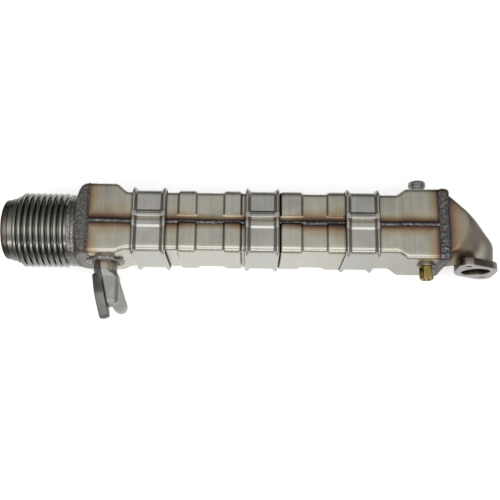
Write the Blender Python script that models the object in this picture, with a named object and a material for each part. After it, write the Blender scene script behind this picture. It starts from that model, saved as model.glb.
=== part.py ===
"""Engine EGR cooler: a welded stainless casing with three straps, a bundle of flat gas tubes between
two header plates, a round bellows inlet, a mitred outlet hood with its flange, a cast coolant inlet,
a coolant outlet neck and a brass fitting.

Metres, +Z up. X runs along the cooler from the bellows (-X) to the gas outlet (+X). The cooler lies on
one seam face, so the seam that joins the two casing halves runs along the top at Y = 0.
"""
import math

import bmesh
import bpy
from mathutils import Matrix, Vector

# Driving dimensions
CLEARANCE = 0.0003           # gap kept between pieces that touch
SHEET = 0.0016               # casing sheet

CASING_HALF_WIDTH = 0.047    # along Y, from the axis to the plain side
CASING_HALF_HEIGHT = 0.055   # along Z, from the axis to the seam face
CASING_CORNER = 0.010
CASING_START = -0.2535
CASING_END = 0.2925

INLET_HEADER_END = -0.212    # the bulged inlet header runs from the casing's start to here
INLET_SLOPE = 0.021          # length of its slope down to the plain casing
INLET_BULGE_REAR = 0.0125
INLET_BULGE_FRONT = 0.0066
OUTLET_HEADER_START = 0.243
OUTLET_SLOPE = 0.019
OUTLET_BULGE_REAR = 0.0096
OUTLET_BULGE_FRONT = 0.0099
HEADER_BULGE_TOP = 0.003     # how far both headers bulge on the seam faces

BANDS = ((-0.110, -0.088), (-0.039, -0.0186), (0.049, 0.076), (0.121, 0.1454))
BAND_HEIGHT = 0.0032
BAND_SLOPE = 0.006
BAND_SEAM_MARGIN = 0.013     # the rear half's bands stop this far from the seam
BAND_SEAM_SLOPE = 0.004

LAP = 0.006                  # the front half's lip under the rear half
LAP_JOGGLE = 0.003

STRAP_CENTRES = (-0.1585, 0.0173, 0.1726)
STRAP_SHEET = 0.0024
STRAP_FLAT = 0.031           # flat middle of a strap
STRAP_CREST_SPACING = 0.0455
STRAP_CREST_HEIGHT = 0.0078  # crest above the casing
STRAP_EDGE = 0.0026          # width of the rolled edge past the crest
STRAP_EDGE_DROP = 0.0008
STRAP_LAP_START = 0.0120     # where the rear strap is fully raised over the front one
STRAP_LAP_SLOPE = 0.0035
STRAP_LAP_END = 0.0045       # edge of the rear strap, past the seam on its own side
STRAP_TUCK = 0.0105          # edge of the front strap, under the rear one
STRAP_HUMP = 0.0006          # rise of the front strap over the seam weld
STRAP_HUMP_END = 0.0065
STRAP_HUMP_SLOPE = 0.005

TUBE_COUNT = 8
TUBE_PITCH = 0.0122
TUBE_SIDE_GAP = 0.0054       # coolant gap between the tubes' edges and the casing sheet
TUBE_HEIGHT = 0.0080
TUBE_WALL = 0.0007
FIN_SHEET = 0.0005
FIN_WAVES = 8
FIN_END_INSET = 0.006
TUBE_STAND_OUT = 0.001       # tube ends past the header plates

INLET_PLATE = 0.005
OUTLET_PLATE = 0.012
BAFFLE_THICKNESS = 0.002
BAFFLE_CENTRES = (-0.062, 0.096)

GAS_INLET_OFFSET = -0.003    # the inlet's axis lies a little to the front
CONE_WALL = 0.003
CONE_LENGTH = 0.019
COLLAR_LENGTH = 0.0135
COLLAR_WALL = 0.003
COLLAR_ROUND = 0.0015

BELLOWS_CREST = 0.0595
BELLOWS_ROOT = 0.0500
COLLAR_STEP = 0.0072         # the collar stands this proud of the bellows' root
COLLAR_RADIUS = BELLOWS_ROOT + COLLAR_STEP
BELLOWS_PITCH = 0.0092
BELLOWS_RINGS = 8
BELLOWS_WALL = 0.0008
BELLOWS_RING_OUTSIDE = ((-0.40, 0.0), (-0.28, 0.90), (0.0, 1.0), (0.28, 0.90), (0.40, 0.0))
BELLOWS_RING_INSIDE = ((-0.31, 0.0), (-0.18, 0.90), (0.18, 0.90), (0.31, 0.0))   # shares of pitch and depth
BELLOWS_CUFF = 0.006
BELLOWS_SMALL_CREST = 0.0545  # the first ring at the mouth is lower than the rest
MOUTH_STEP = 0.0009           # the nose is this much smaller than the sleeve behind it
MOUTH_LENGTH = 0.012
MOUTH_WALL = 0.0028
MOUTH_ROUND = 0.001

HOOD_WALL = 0.0025
HOOD_END_RADIUS = 0.0275     # the hood's round end behind the flange
HOOD_MARGIN = 0.001          # the hood's open end is this much smaller than the header
HOOD_SLANT_ANGLE = 43.4    # degrees from +Y towards +X of the slanted outer wall's normal
HOOD_SLANT_REACH = 0.0757   # from the hood's inner corner to the slanted wall
HOOD_ROUNDING = 24           # how sharply the outer walls turn into each other; higher is sharper
HOOD_CREASE_X = 0.335        # past here the seam faces of the hood fall away to its round nose
HOOD_CREASE_DROP = 0.40      # share of its height that a seam face has lost at the nose
OUTLET_FACE_Y = -0.0635
OUTLET_X = 0.3575
OUTLET_Z = 0.001
OUTLET_BORE = 0.0225
OUTLET_FLANGE_THICKNESS = 0.012
OUTLET_BOLT_SPACING = 0.079
OUTLET_BOLT_ANGLE = 60.7     # degrees from +X towards -Z, seen from the front
OUTLET_BOLT_RADIUS = 0.0046
OUTLET_EAR_RADIUS = 0.0145
OUTLET_HUB_RADIUS = 0.0335

PORT_X = -0.2295
PORT_Z = 0.004
PORT_RING_OUTER = 0.0300
PORT_RING_INNER = 0.0205
PORT_RING_HEIGHT = 0.0035
INLET_STUB_RADIUS = 0.0188
INLET_STUB_LENGTH = 0.018
INLET_STUB_BORE = 0.0150
INLET_PASSAGE = 0.0105       # radius of the casting's passage past the flange's upper bolt
INLET_PASSAGE_OFFSET = 0.009 # from the port's axis towards +X
INLET_BORE = 0.0130          # radius of the bore in the flange
INLET_BORE_DEPTH = 0.023
INLET_BODY_HALF_DEPTH = 0.015
INLET_BODY_RIGHT = 0.023     # from the port's axis to the body's +X side
INLET_BODY_START = 0.0262    # drops are measured from the header's front side towards -Y
INLET_BODY_DROP = 0.0728     # the body's lower end
INLET_BODY_CORNER = 0.008
INLET_BODY_ROUND = 0.0062    # rounding at the body's lower end
INLET_FLANGE_OFFSET = -0.0047
INLET_FLANGE_DROP = 0.0556
INLET_FLANGE_TILT = 12.5     # degrees
INLET_FLANGE_THICKNESS = 0.015
INLET_FLANGE_HALF_LENGTH = 0.038
INLET_FLANGE_RADIUS = 0.0225
INLET_FLANGE_DRAFT = 0.04    # share by which both faces are smaller than the parting line
INLET_BOLT_RADIUS = 0.0045
INLET_BOLT_DEPTH = 0.010
INLET_BOLT_SPACING = 0.053
INLET_EAR_RADIUS = 0.0105
INLET_EAR_OFFSET = 0.0268
INLET_EAR_DROP = 0.0736
INLET_EAR_HALF_DEPTH = 0.009
INLET_EAR_ROOT_RADIUS = 0.0095   # upper end of the web that carries the ear
INLET_EAR_ROOT_OFFSET = 0.011
INLET_EAR_ROOT_DROP = 0.0262

OUTLET_NECK_X = 0.2695
OUTLET_NECK_RADIUS = 0.0125
OUTLET_NECK_WALL = 0.0018
OUTLET_NECK_LENGTH = 0.029
OUTLET_NECK_FOOT = 0.002      # flare at the foot
OUTLET_NECK_BEAD = 0.0012     # rise of the hose bead
OUTLET_NECK_BEAD_LENGTH = 0.007

FITTING_X = 0.2752
FITTING_Z = 0.020
BUNG_RADIUS = 0.0135
BUNG_LENGTH = 0.0035
FITTING_ACROSS_FLATS = 0.0195
FITTING_LENGTH = 0.0205
FITTING_BORE = 0.0060
FITTING_CHAMFER = 0.0018

ROUND_STEPS = 3              # points in a quarter turn of a small corner
SMALL_STEPS = 5              # points in a quarter turn of a small round part
BORE_STEPS = 6               # points in a quarter turn of a large round part
BELLOWS_STEPS = 6
HOOD_POINTS = 28             # points round a section of the hood


def steel(name, colour, roughness, metallic=0.9):
    """A Principled material with one colour."""
    made = bpy.data.materials.new(name)
    made.use_nodes = True
    shader = made.node_tree.nodes["Principled BSDF"]
    shader.inputs["Base Color"].default_value = (*colour, 1.0)
    shader.inputs["Roughness"].default_value = roughness
    shader.inputs["Metallic"].default_value = metallic
    return made


def add_node(name, bm, material, parent):
    """Turn a bmesh into one named object under the parent empty."""
    bmesh.ops.remove_doubles(bm, verts=bm.verts, dist=1e-6)
    bmesh.ops.recalc_face_normals(bm, faces=bm.faces)
    mesh = bpy.data.meshes.new(name)
    bm.to_mesh(mesh)
    bm.free()
    mesh.materials.append(material)
    mesh.shade_smooth()
    mesh.set_sharp_from_angle(angle=math.radians(32))
    made = bpy.data.objects.new(name, mesh)
    bpy.context.scene.collection.objects.link(made)
    made.parent = parent
    return made


def ring_body(rings, wrap):
    """A closed body from rings of points. A ring is a closed loop whose first half is the outer skin
    and whose second half is the inner skin, backwards. The rings wrap round, or both ends are closed
    by strips between the skins."""
    bm = bmesh.new()
    rows = [[bm.verts.new(point) for point in ring] for ring in rings]
    count = len(rows[0])
    pairs = list(zip(rows, rows[1:]))
    if wrap:
        pairs.append((rows[-1], rows[0]))
    for first, second in pairs:
        for i in range(count):
            j = (i + 1) % count
            bm.faces.new((first[i], first[j], second[j], second[i]))
    if not wrap:
        for row in (rows[0], rows[-1]):
            for i in range(count // 2 - 1):
                bm.faces.new((row[i], row[i + 1], row[count - 2 - i], row[count - 1 - i]))
    return bm


def solid_body(rings):
    """A closed body from rings of points, closed by a flat face at each end."""
    bm = bmesh.new()
    rows = [[bm.verts.new(point) for point in ring] for ring in rings]
    count = len(rows[0])
    for first, second in zip(rows, rows[1:]):
        for i in range(count):
            j = (i + 1) % count
            bm.faces.new((first[i], first[j], second[j], second[i]))
    bm.faces.new(rows[0])
    bm.faces.new(rows[-1])
    return bm


def hollow_body(outer, inner):
    """A pipe-like body between matching outer and inner sections, each a list of closed outlines."""
    rings = []
    for i in range(len(outer[0])):
        along = [section[i] for section in outer]
        back = [section[i] for section in reversed(inner)]
        rings.append(along + back)
    return ring_body(rings, wrap=True)


def box_outline(low, high, half_height, corner, steps):
    """Closed outline with rounded corners, as (across, up) pairs, spaced so a full circle is regular."""
    points = []
    corners = ((high - corner, half_height - corner, 0), (low + corner, half_height - corner, 90),
               (low + corner, corner - half_height, 180), (high - corner, corner - half_height, 270))
    for across, up, start in corners:
        for i in range(steps):
            angle = math.radians(start + 90 * (i + 0.5) / steps)
            points.append((across + corner * math.cos(angle), up + corner * math.sin(angle)))
    return points


def circle_outline(radius, steps, centre=(0.0, 0.0)):
    """Closed circle as (across, up) pairs, with the same count as a box outline."""
    ring = box_outline(-radius, radius, radius, radius, steps)
    return [(across + centre[0], up + centre[1]) for across, up in ring]


def plate_body(outline, holes, place):
    """A flat plate with holes. place(across, up, side) gives the point on side 0 or 1."""
    bm = bmesh.new()
    edges = []
    for loop in [outline] + holes:
        row = [bm.verts.new(place(across, up, 0)) for across, up in loop]
        edges += [bm.edges.new((row[i - 1], row[i])) for i in range(len(row))]
    bmesh.ops.triangle_fill(bm, edges=edges, use_beauty=True)
    step = place(0.0, 0.0, 1) - place(0.0, 0.0, 0)
    grown = bmesh.ops.extrude_face_region(bm, geom=list(bm.faces))
    moved = [item for item in grown["geom"] if isinstance(item, bmesh.types.BMVert)]
    bmesh.ops.translate(bm, vec=step, verts=moved)
    return bm


def along_x(across, up, x):
    """A section point on a plane of constant X."""
    return Vector((x, across, up))


def turned(profile, steps, centre_y):
    """Revolve a closed profile of (x, radius) pairs about the gas inlet's axis."""
    rings = []
    for i in range(4 * steps):
        angle = math.radians(90 * (i + 0.5) / steps)
        rings.append([Vector((x, centre_y + radius * math.cos(angle), radius * math.sin(angle)))
                      for x, radius in profile])
    return ring_body(rings, wrap=True)


def ease(x, start, end):
    """0 before start, 1 after end and a smooth step between."""
    t = min(1.0, max(0.0, (x - start) / (end - start)))
    return t * t * (3 - 2 * t)


def casing_size(x):
    """Half width to the rear and to the front, half height and band height of the casing at x."""
    inlet = 1 - ease(x, INLET_HEADER_END, INLET_HEADER_END + INLET_SLOPE)
    outlet = ease(x, OUTLET_HEADER_START - OUTLET_SLOPE, OUTLET_HEADER_START)
    rear = CASING_HALF_WIDTH + INLET_BULGE_REAR * inlet + OUTLET_BULGE_REAR * outlet
    front = CASING_HALF_WIDTH + INLET_BULGE_FRONT * inlet + OUTLET_BULGE_FRONT * outlet
    top = CASING_HALF_HEIGHT + HEADER_BULGE_TOP * (inlet + outlet)
    band = 0.0
    for start, end in BANDS:
        rise = ease(x, start - BAND_SLOPE, start) - ease(x, end, end + BAND_SLOPE)
        band = max(band, BAND_HEIGHT * rise)
    return rear, front, top, band


def casing_stations():
    """X of each section of the casing: the ends, and steps over every slope."""
    xs = [CASING_START, CASING_END]
    for t in (0.0, 0.35, 0.65, 1.0):
        xs += [INLET_HEADER_END + t * INLET_SLOPE, OUTLET_HEADER_START - t * OUTLET_SLOPE]
    for start, end in BANDS:
        xs += [start - BAND_SLOPE, start, end, end + BAND_SLOPE]
    return sorted(xs)


def half_section(width, top, corner, seam, steps):
    """U-shaped half outline from the top seam edge round the side to the bottom seam edge, as
    (across, up) pairs. seam lists the (across, drop) points between the edge and the flat."""
    upper = [(across, top - drop) for across, drop in seam]
    for i in range(steps + 1):
        angle = math.radians(90 - 90 * i / steps)
        upper.append((width - corner + corner * math.cos(angle), top - corner + corner * math.sin(angle)))
    return upper + [(across, -up) for across, up in reversed(upper)]


def casing_half(name, side, material, parent):
    """One pressed half of the casing. side is +1 for the rear half and -1 for the front half, whose
    edges step inward and run on under the rear half."""
    rings = []
    for x in casing_stations():
        rear, front, top, band = casing_size(x)
        width = (rear if side > 0 else front) + band
        skins = []
        for inset in (0.0, SHEET):
            if side > 0:
                seam = [(0.0, band), (BAND_SEAM_MARGIN - BAND_SEAM_SLOPE, band), (BAND_SEAM_MARGIN, 0.0)]
            else:
                step = band + SHEET + CLEARANCE
                seam = [(-LAP, step), (CLEARANCE, step), (LAP_JOGGLE, 0.0)]
            skin = half_section(width - inset, top + band - inset, CASING_CORNER + band - inset, seam,
                                ROUND_STEPS)
            skins.append([Vector((x, side * across, up)) for across, up in skin])
        rings.append(skins[0] + skins[1][::-1])
    return add_node(name, ring_body(rings, wrap=False), material, parent)


def strap_profile():
    """Section of a strap along X as (x, height) of its outer skin above the casing."""
    flat = STRAP_FLAT / 2
    crest = STRAP_CREST_SPACING / 2
    seat = STRAP_SHEET + CLEARANCE
    right = [(flat, seat), (flat + 0.35 * (crest - flat), seat + 0.2 * (STRAP_CREST_HEIGHT - seat)),
             (crest - STRAP_EDGE_DROP, STRAP_CREST_HEIGHT),
             (crest - STRAP_EDGE_DROP + STRAP_EDGE, STRAP_CREST_HEIGHT - STRAP_EDGE_DROP)]
    return [(-x, height) for x, height in reversed(right)] + right


def strap_half(name, centre, side, material, parent):
    """One half of a strap: a flat band with both edges flared up, bent round the casing. The rear half
    rises near the seam and laps over the front half, which rises over the seam weld."""
    profile = strap_profile()
    skins = [[], []]
    for x, height in profile:
        for k, thickness in ((0, 0.0), (1, STRAP_SHEET)):
            offset = height - thickness
            lean = 0.0 if abs(x) <= STRAP_FLAT / 2 else math.copysign(0.55 * thickness, x)
            lift = min(STRAP_SHEET + CLEARANCE + STRAP_HUMP, STRAP_CREST_HEIGHT - height)
            if side > 0:
                seam = [(STRAP_LAP_END, -lift), (STRAP_LAP_START, -lift),
                        (STRAP_LAP_START + STRAP_LAP_SLOPE, 0.0)]
            else:
                hump = min(STRAP_HUMP, lift)
                edge = -STRAP_TUCK if abs(x) <= STRAP_FLAT / 2 else 2 * CLEARANCE - STRAP_LAP_END
                seam = [(edge, -hump), (STRAP_HUMP_END, -hump), (STRAP_HUMP_END + STRAP_HUMP_SLOPE, 0.0)]
            outline = half_section(CASING_HALF_WIDTH + offset, CASING_HALF_HEIGHT + offset,
                                   CASING_CORNER + offset, seam, ROUND_STEPS)
            skins[k].append([Vector((centre + x + lean, side * across, up)) for across, up in outline])
    rings = []
    for j in range(len(skins[0][0])):
        rings.append([row[j] for row in skins[0]] + [row[j] for row in reversed(skins[1])])
    return add_node(name, ring_body(rings, wrap=False), material, parent)


def tube_levels():
    """Z of each gas tube's axis."""
    return [(i - (TUBE_COUNT - 1) / 2) * TUBE_PITCH for i in range(TUBE_COUNT)]


def tube_half_width():
    """Half width of a gas tube, which leaves the side gap inside the plain casing."""
    return CASING_HALF_WIDTH - SHEET - TUBE_SIDE_GAP


def tube_outline(level, grow):
    """Flat tube section with round edges, grown or shrunk by grow."""
    half = TUBE_HEIGHT / 2 + grow
    width = tube_half_width() + grow
    return [(across, up + level) for across, up in box_outline(-width, width, half, half, 3)]


def plate_with_tubes(name, outline, x, thickness, material, parent):
    """A plate across the casing with a hole for each gas tube."""
    holes = [tube_outline(level, CLEARANCE) for level in tube_levels()]
    bm = plate_body(outline, holes, lambda across, up, side: Vector((x + side * thickness, across, up)))
    return add_node(name, bm, material, parent)


def casing_inside(x, gap):
    """Outline inside the casing at x, kept gap clear of its sheet and of the front half's lip."""
    rear, front, top, band = casing_size(x)
    inset = SHEET + gap
    lip = SHEET + CLEARANCE
    return box_outline(inset - front, rear - inset, top - inset - lip, CASING_CORNER - SHEET, ROUND_STEPS)


def gas_tube(name, level, start, end, material, parent):
    """One flat gas tube, open at both ends."""
    outer = [[along_x(a, u, x) for a, u in tube_outline(level, 0.0)] for x in (start, end)]
    inner = [[along_x(a, u, x) for a, u in tube_outline(level, -TUBE_WALL)] for x in (start, end)]
    return add_node(name, hollow_body(outer, inner), material, parent)


def tube_fin(name, level, start, end, material, parent):
    """The corrugated fin inside a gas tube: one wave of sheet, drawn along the tube."""
    half_width = tube_half_width() - TUBE_HEIGHT / 2
    top = TUBE_HEIGHT / 2 - TUBE_WALL - CLEARANCE - FIN_SHEET / 2
    pitch = 2 * half_width / FIN_WAVES
    wave = [(-half_width + i * pitch / 2, top if i % 2 else -top) for i in range(2 * FIN_WAVES + 1)]
    rings = []
    for x in (start + FIN_END_INSET, end - FIN_END_INSET):
        upper = [along_x(a, u + level + FIN_SHEET / 2, x) for a, u in wave]
        lower = [along_x(a, u + level - FIN_SHEET / 2, x) for a, u in reversed(wave)]
        rings.append(upper + lower)
    return add_node(name, ring_body(rings, wrap=False), material, parent)


def inlet_cone(material, parent):
    """Round-to-rectangular transition: leaves the collar round and swells to the casing's section."""
    rear, front, top, band = casing_size(CASING_START)
    end = CASING_START - CLEARANCE
    start = end - CONE_LENGTH
    skins = []
    for inset in (0.0, CONE_WALL):
        radius = COLLAR_RADIUS - inset
        round_end = circle_outline(radius, BORE_STEPS, (GAS_INLET_OFFSET, 0.0))
        square_end = box_outline(inset - front, rear - inset, top - inset, CASING_CORNER, BORE_STEPS)
        skin = []
        for turn in (0, 18, 36, 54, 72, 90):
            mix = math.sin(math.radians(turn))
            x = start + CONE_LENGTH * (1 - math.cos(math.radians(turn)))
            skin.append([along_x(a + (c - a) * mix, b + (d - b) * mix, x)
                         for (a, b), (c, d) in zip(round_end, square_end)])
        skins.append(skin)
    return add_node("inlet_cone", hollow_body(*skins), material, parent), start


def neck_collar(end, material, parent):
    """Ring between the cone and the bellows, turned in at the bellows' cuff."""
    start = end - COLLAR_LENGTH
    bore = BELLOWS_ROOT + CLEARANCE
    lip = start + COLLAR_WALL
    wall = COLLAR_RADIUS - COLLAR_WALL
    profile = [(start + COLLAR_ROUND, COLLAR_RADIUS), (end, COLLAR_RADIUS), (end, wall), (lip, wall),
               (lip, bore), (start, bore), (start, COLLAR_RADIUS - COLLAR_ROUND)]
    return add_node("neck_collar", turned(profile, BELLOWS_STEPS, GAS_INLET_OFFSET), material, parent), lip


def bellows(end, material, parent):
    """The convoluted pipe: even rings with narrow roots, a low first ring and a plain cuff each end."""
    start = end - 2 * BELLOWS_CUFF - (BELLOWS_RINGS + 1) * BELLOWS_PITCH
    outer = [(start, BELLOWS_ROOT), (start + BELLOWS_CUFF, BELLOWS_ROOT)]
    inner = [(start, BELLOWS_ROOT - BELLOWS_WALL), (start + BELLOWS_CUFF, BELLOWS_ROOT - BELLOWS_WALL)]
    for ring in range(BELLOWS_RINGS + 1):
        middle = start + BELLOWS_CUFF + (ring + 0.5) * BELLOWS_PITCH
        crest = BELLOWS_SMALL_CREST if ring == 0 else BELLOWS_CREST
        depth = crest - BELLOWS_ROOT
        for across, rise in BELLOWS_RING_OUTSIDE:
            outer.append((middle + across * BELLOWS_PITCH, BELLOWS_ROOT + rise * depth))
        for across, rise in BELLOWS_RING_INSIDE:
            inner.append((middle + across * BELLOWS_PITCH, BELLOWS_ROOT - BELLOWS_WALL + rise * depth))
    outer += [(end - BELLOWS_CUFF, BELLOWS_ROOT), (end, BELLOWS_ROOT)]
    inner += [(end - BELLOWS_CUFF, BELLOWS_ROOT - BELLOWS_WALL), (end, BELLOWS_ROOT - BELLOWS_WALL)]
    profile = outer + inner[::-1]
    return add_node("bellows", turned(profile, BELLOWS_STEPS, GAS_INLET_OFFSET), material, parent), start


def mouth_ring(bellows_start, material, parent):
    """End ring: its inner sleeve fits inside the bellows' cuff and its nose stands in front of it."""
    sleeve = BELLOWS_ROOT - BELLOWS_WALL - CLEARANCE
    radius = sleeve - MOUTH_STEP
    nose = bellows_start - MOUTH_LENGTH
    sleeve_end = bellows_start + BELLOWS_CUFF
    bore = radius - MOUTH_WALL
    profile = [(nose, radius - MOUTH_ROUND), (nose + MOUTH_ROUND, radius),
               (bellows_start - 2 * MOUTH_ROUND, radius), (bellows_start, sleeve), (sleeve_end, sleeve),
               (sleeve_end, sleeve - MOUTH_WALL), (bellows_start, bore), (nose + MOUTH_ROUND, bore),
               (nose, bore + MOUTH_ROUND)]
    return add_node("mouth_ring", turned(profile, BELLOWS_STEPS, GAS_INLET_OFFSET), material, parent)


def hood_reach(turn, corner_to_top, corner_to_side):
    """Distance from the hood's inner corner to its outer walls at a turn from +Y: the top, the slant
    and the side, rounded into each other."""
    walls = ((corner_to_top, 0.0), (HOOD_SLANT_REACH, HOOD_SLANT_ANGLE), (corner_to_side, 90.0))
    shares = [max(0.0, math.cos(math.radians(turn - normal))) / reach for reach, normal in walls]
    return sum(share ** HOOD_ROUNDING for share in shares) ** (-1 / HOOD_ROUNDING)


def hood_section(turn, inset):
    """Section of the outlet hood after a turn of 0 to 90 degrees about the hood's inner corner. It
    changes from the header's rectangle to the flange's circle."""
    rear, front, top, band = casing_size(CASING_END)
    start = CASING_END + 2 * CLEARANCE + OUTLET_PLATE
    back = OUTLET_FACE_Y + OUTLET_FLANGE_THICKNESS + CLEARANCE
    side = OUTLET_X + HOOD_END_RADIUS
    t = turn / 90
    near = (OUTLET_X - HOOD_END_RADIUS - start) * t * t + inset
    far = hood_reach(turn, rear - back - HOOD_MARGIN, side - start) - inset
    half_start = top - HOOD_MARGIN
    squareness = 8 - 6 * ease(t, 0.25, 1.0)
    narrowing = ease(t, 0.3, 1.0)
    level = OUTLET_Z * ease(t, 0.0, 1.0)
    lean = math.radians(90 - turn)
    outline = []
    for i in range(HOOD_POINTS):
        angle = 2 * math.pi * (i + 0.5) / HOOD_POINTS
        c, s = math.cos(angle), math.sin(angle)
        along = (far + near) / 2 + (far - near) / 2 * math.copysign(abs(c) ** (2 / squareness), c)
        x = start + along * math.cos(lean)
        fall = max(0.0, (x - HOOD_CREASE_X) / (side - HOOD_CREASE_X))
        outward = ease(x, start, OUTLET_X)
        narrow = narrowing * (outward + (1 - outward) * ease(t, 0.75, 1.0))
        half = half_start + (HOOD_END_RADIUS - half_start) * narrow - inset
        half *= 1 - HOOD_CREASE_DROP * fall * (1 - ease(t, 0.55, 1.0))
        up = half * math.copysign(abs(s) ** (2 / squareness), s)
        outline.append(Vector((x, back + along * math.sin(lean), up + level)))
    return outline


def outlet_hood(material, parent):
    """Mitred hood that turns the gas from +X to -Y and narrows to the flange."""
    skins = []
    for inset in (0.0, HOOD_WALL):
        skins.append([hood_section(turn, inset) for turn in (0, 10, 20, 30, 42, 54, 64, 77, 90)])
    return add_node("outlet_hood", hollow_body(*skins), material, parent)


def tangent_hull(circles, steps):
    """Convex outline round circles given as (centre, radius), as (across, up) pairs."""
    points = []
    for (across, up), radius in circles:
        for i in range(4 * steps):
            angle = math.radians(90 * i / steps)
            points.append((across + radius * math.cos(angle), up + radius * math.sin(angle)))
    points.sort()
    hull = []
    for sweep in (points, points[::-1]):
        chain = []
        for p in sweep:
            while len(chain) > 1:
                (ax, ay), (bx, by) = chain[-2], chain[-1]
                if (bx - ax) * (p[1] - ay) - (by - ay) * (p[0] - ax) > 1e-12:
                    break
                chain.pop()
            chain.append(p)
        hull += chain[:-1]
    return hull


def outlet_flange(material, parent):
    """Two-bolt flange: a hub and two ears, with the gas bore through it."""
    angle = math.radians(OUTLET_BOLT_ANGLE)
    reach = OUTLET_BOLT_SPACING / 2
    bolts = [(OUTLET_X + s * reach * math.cos(angle), OUTLET_Z - s * reach * math.sin(angle)) for s in (1, -1)]
    centre = (OUTLET_X, OUTLET_Z)
    circles = [(centre, OUTLET_HUB_RADIUS)] + [(bolt, OUTLET_EAR_RADIUS) for bolt in bolts]
    outline = tangent_hull(circles, BORE_STEPS)
    holes = [circle_outline(OUTLET_BORE, BORE_STEPS, centre)]
    holes += [circle_outline(OUTLET_BOLT_RADIUS, 3, bolt) for bolt in bolts]
    bm = plate_body(outline, holes, lambda across, up, side: Vector(
        (across, OUTLET_FACE_Y + side * OUTLET_FLANGE_THICKNESS, up)))
    return add_node("outlet_flange", bm, material, parent)


def port_ring(material, parent):
    """Raised ring on the inlet header's front side that carries the coolant casting."""
    rear, front, top, band = casing_size(PORT_X)
    base = -front - CLEARANCE
    sections = [[], []]
    for y, outer in ((base, PORT_RING_OUTER), (base - 0.4 * PORT_RING_HEIGHT, PORT_RING_OUTER - 0.001),
                     (base - PORT_RING_HEIGHT, PORT_RING_OUTER - 0.0045)):
        for k, radius in ((0, outer), (1, PORT_RING_INNER)):
            ring = circle_outline(radius, BORE_STEPS, (PORT_X, PORT_Z))
            sections[k].append([Vector((a, y, u)) for a, u in ring])
    return add_node("inlet_port_ring", hollow_body(*sections), material, parent)


def guide(name, bm, parent):
    """A hidden shape that a Boolean joins to or cuts from a node."""
    made = add_node(name, bm, bpy.data.materials["cast_steel"], parent)
    made.hide_render = True
    made.display_type = "WIRE"
    return made


def boolean(target, other, operation):
    """Leave an exact Boolean on the target."""
    modifier = target.modifiers.new(other.name, "BOOLEAN")
    modifier.operation = operation
    modifier.object = other
    modifier.solver = "EXACT"


def port_hole(shell, name, x, z, radius, side, parent):
    """Round hole through the side of a casing half."""
    rear, front, top, band = casing_size(x)
    wall = side * (rear if side > 0 else front)
    rings = [[Vector((a, wall + depth, u)) for a, u in circle_outline(radius, SMALL_STEPS, (x, z))]
             for depth in (-2 * SHEET, 2 * SHEET)]
    boolean(shell, guide(name, solid_body(rings), parent), "DIFFERENCE")


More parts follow.
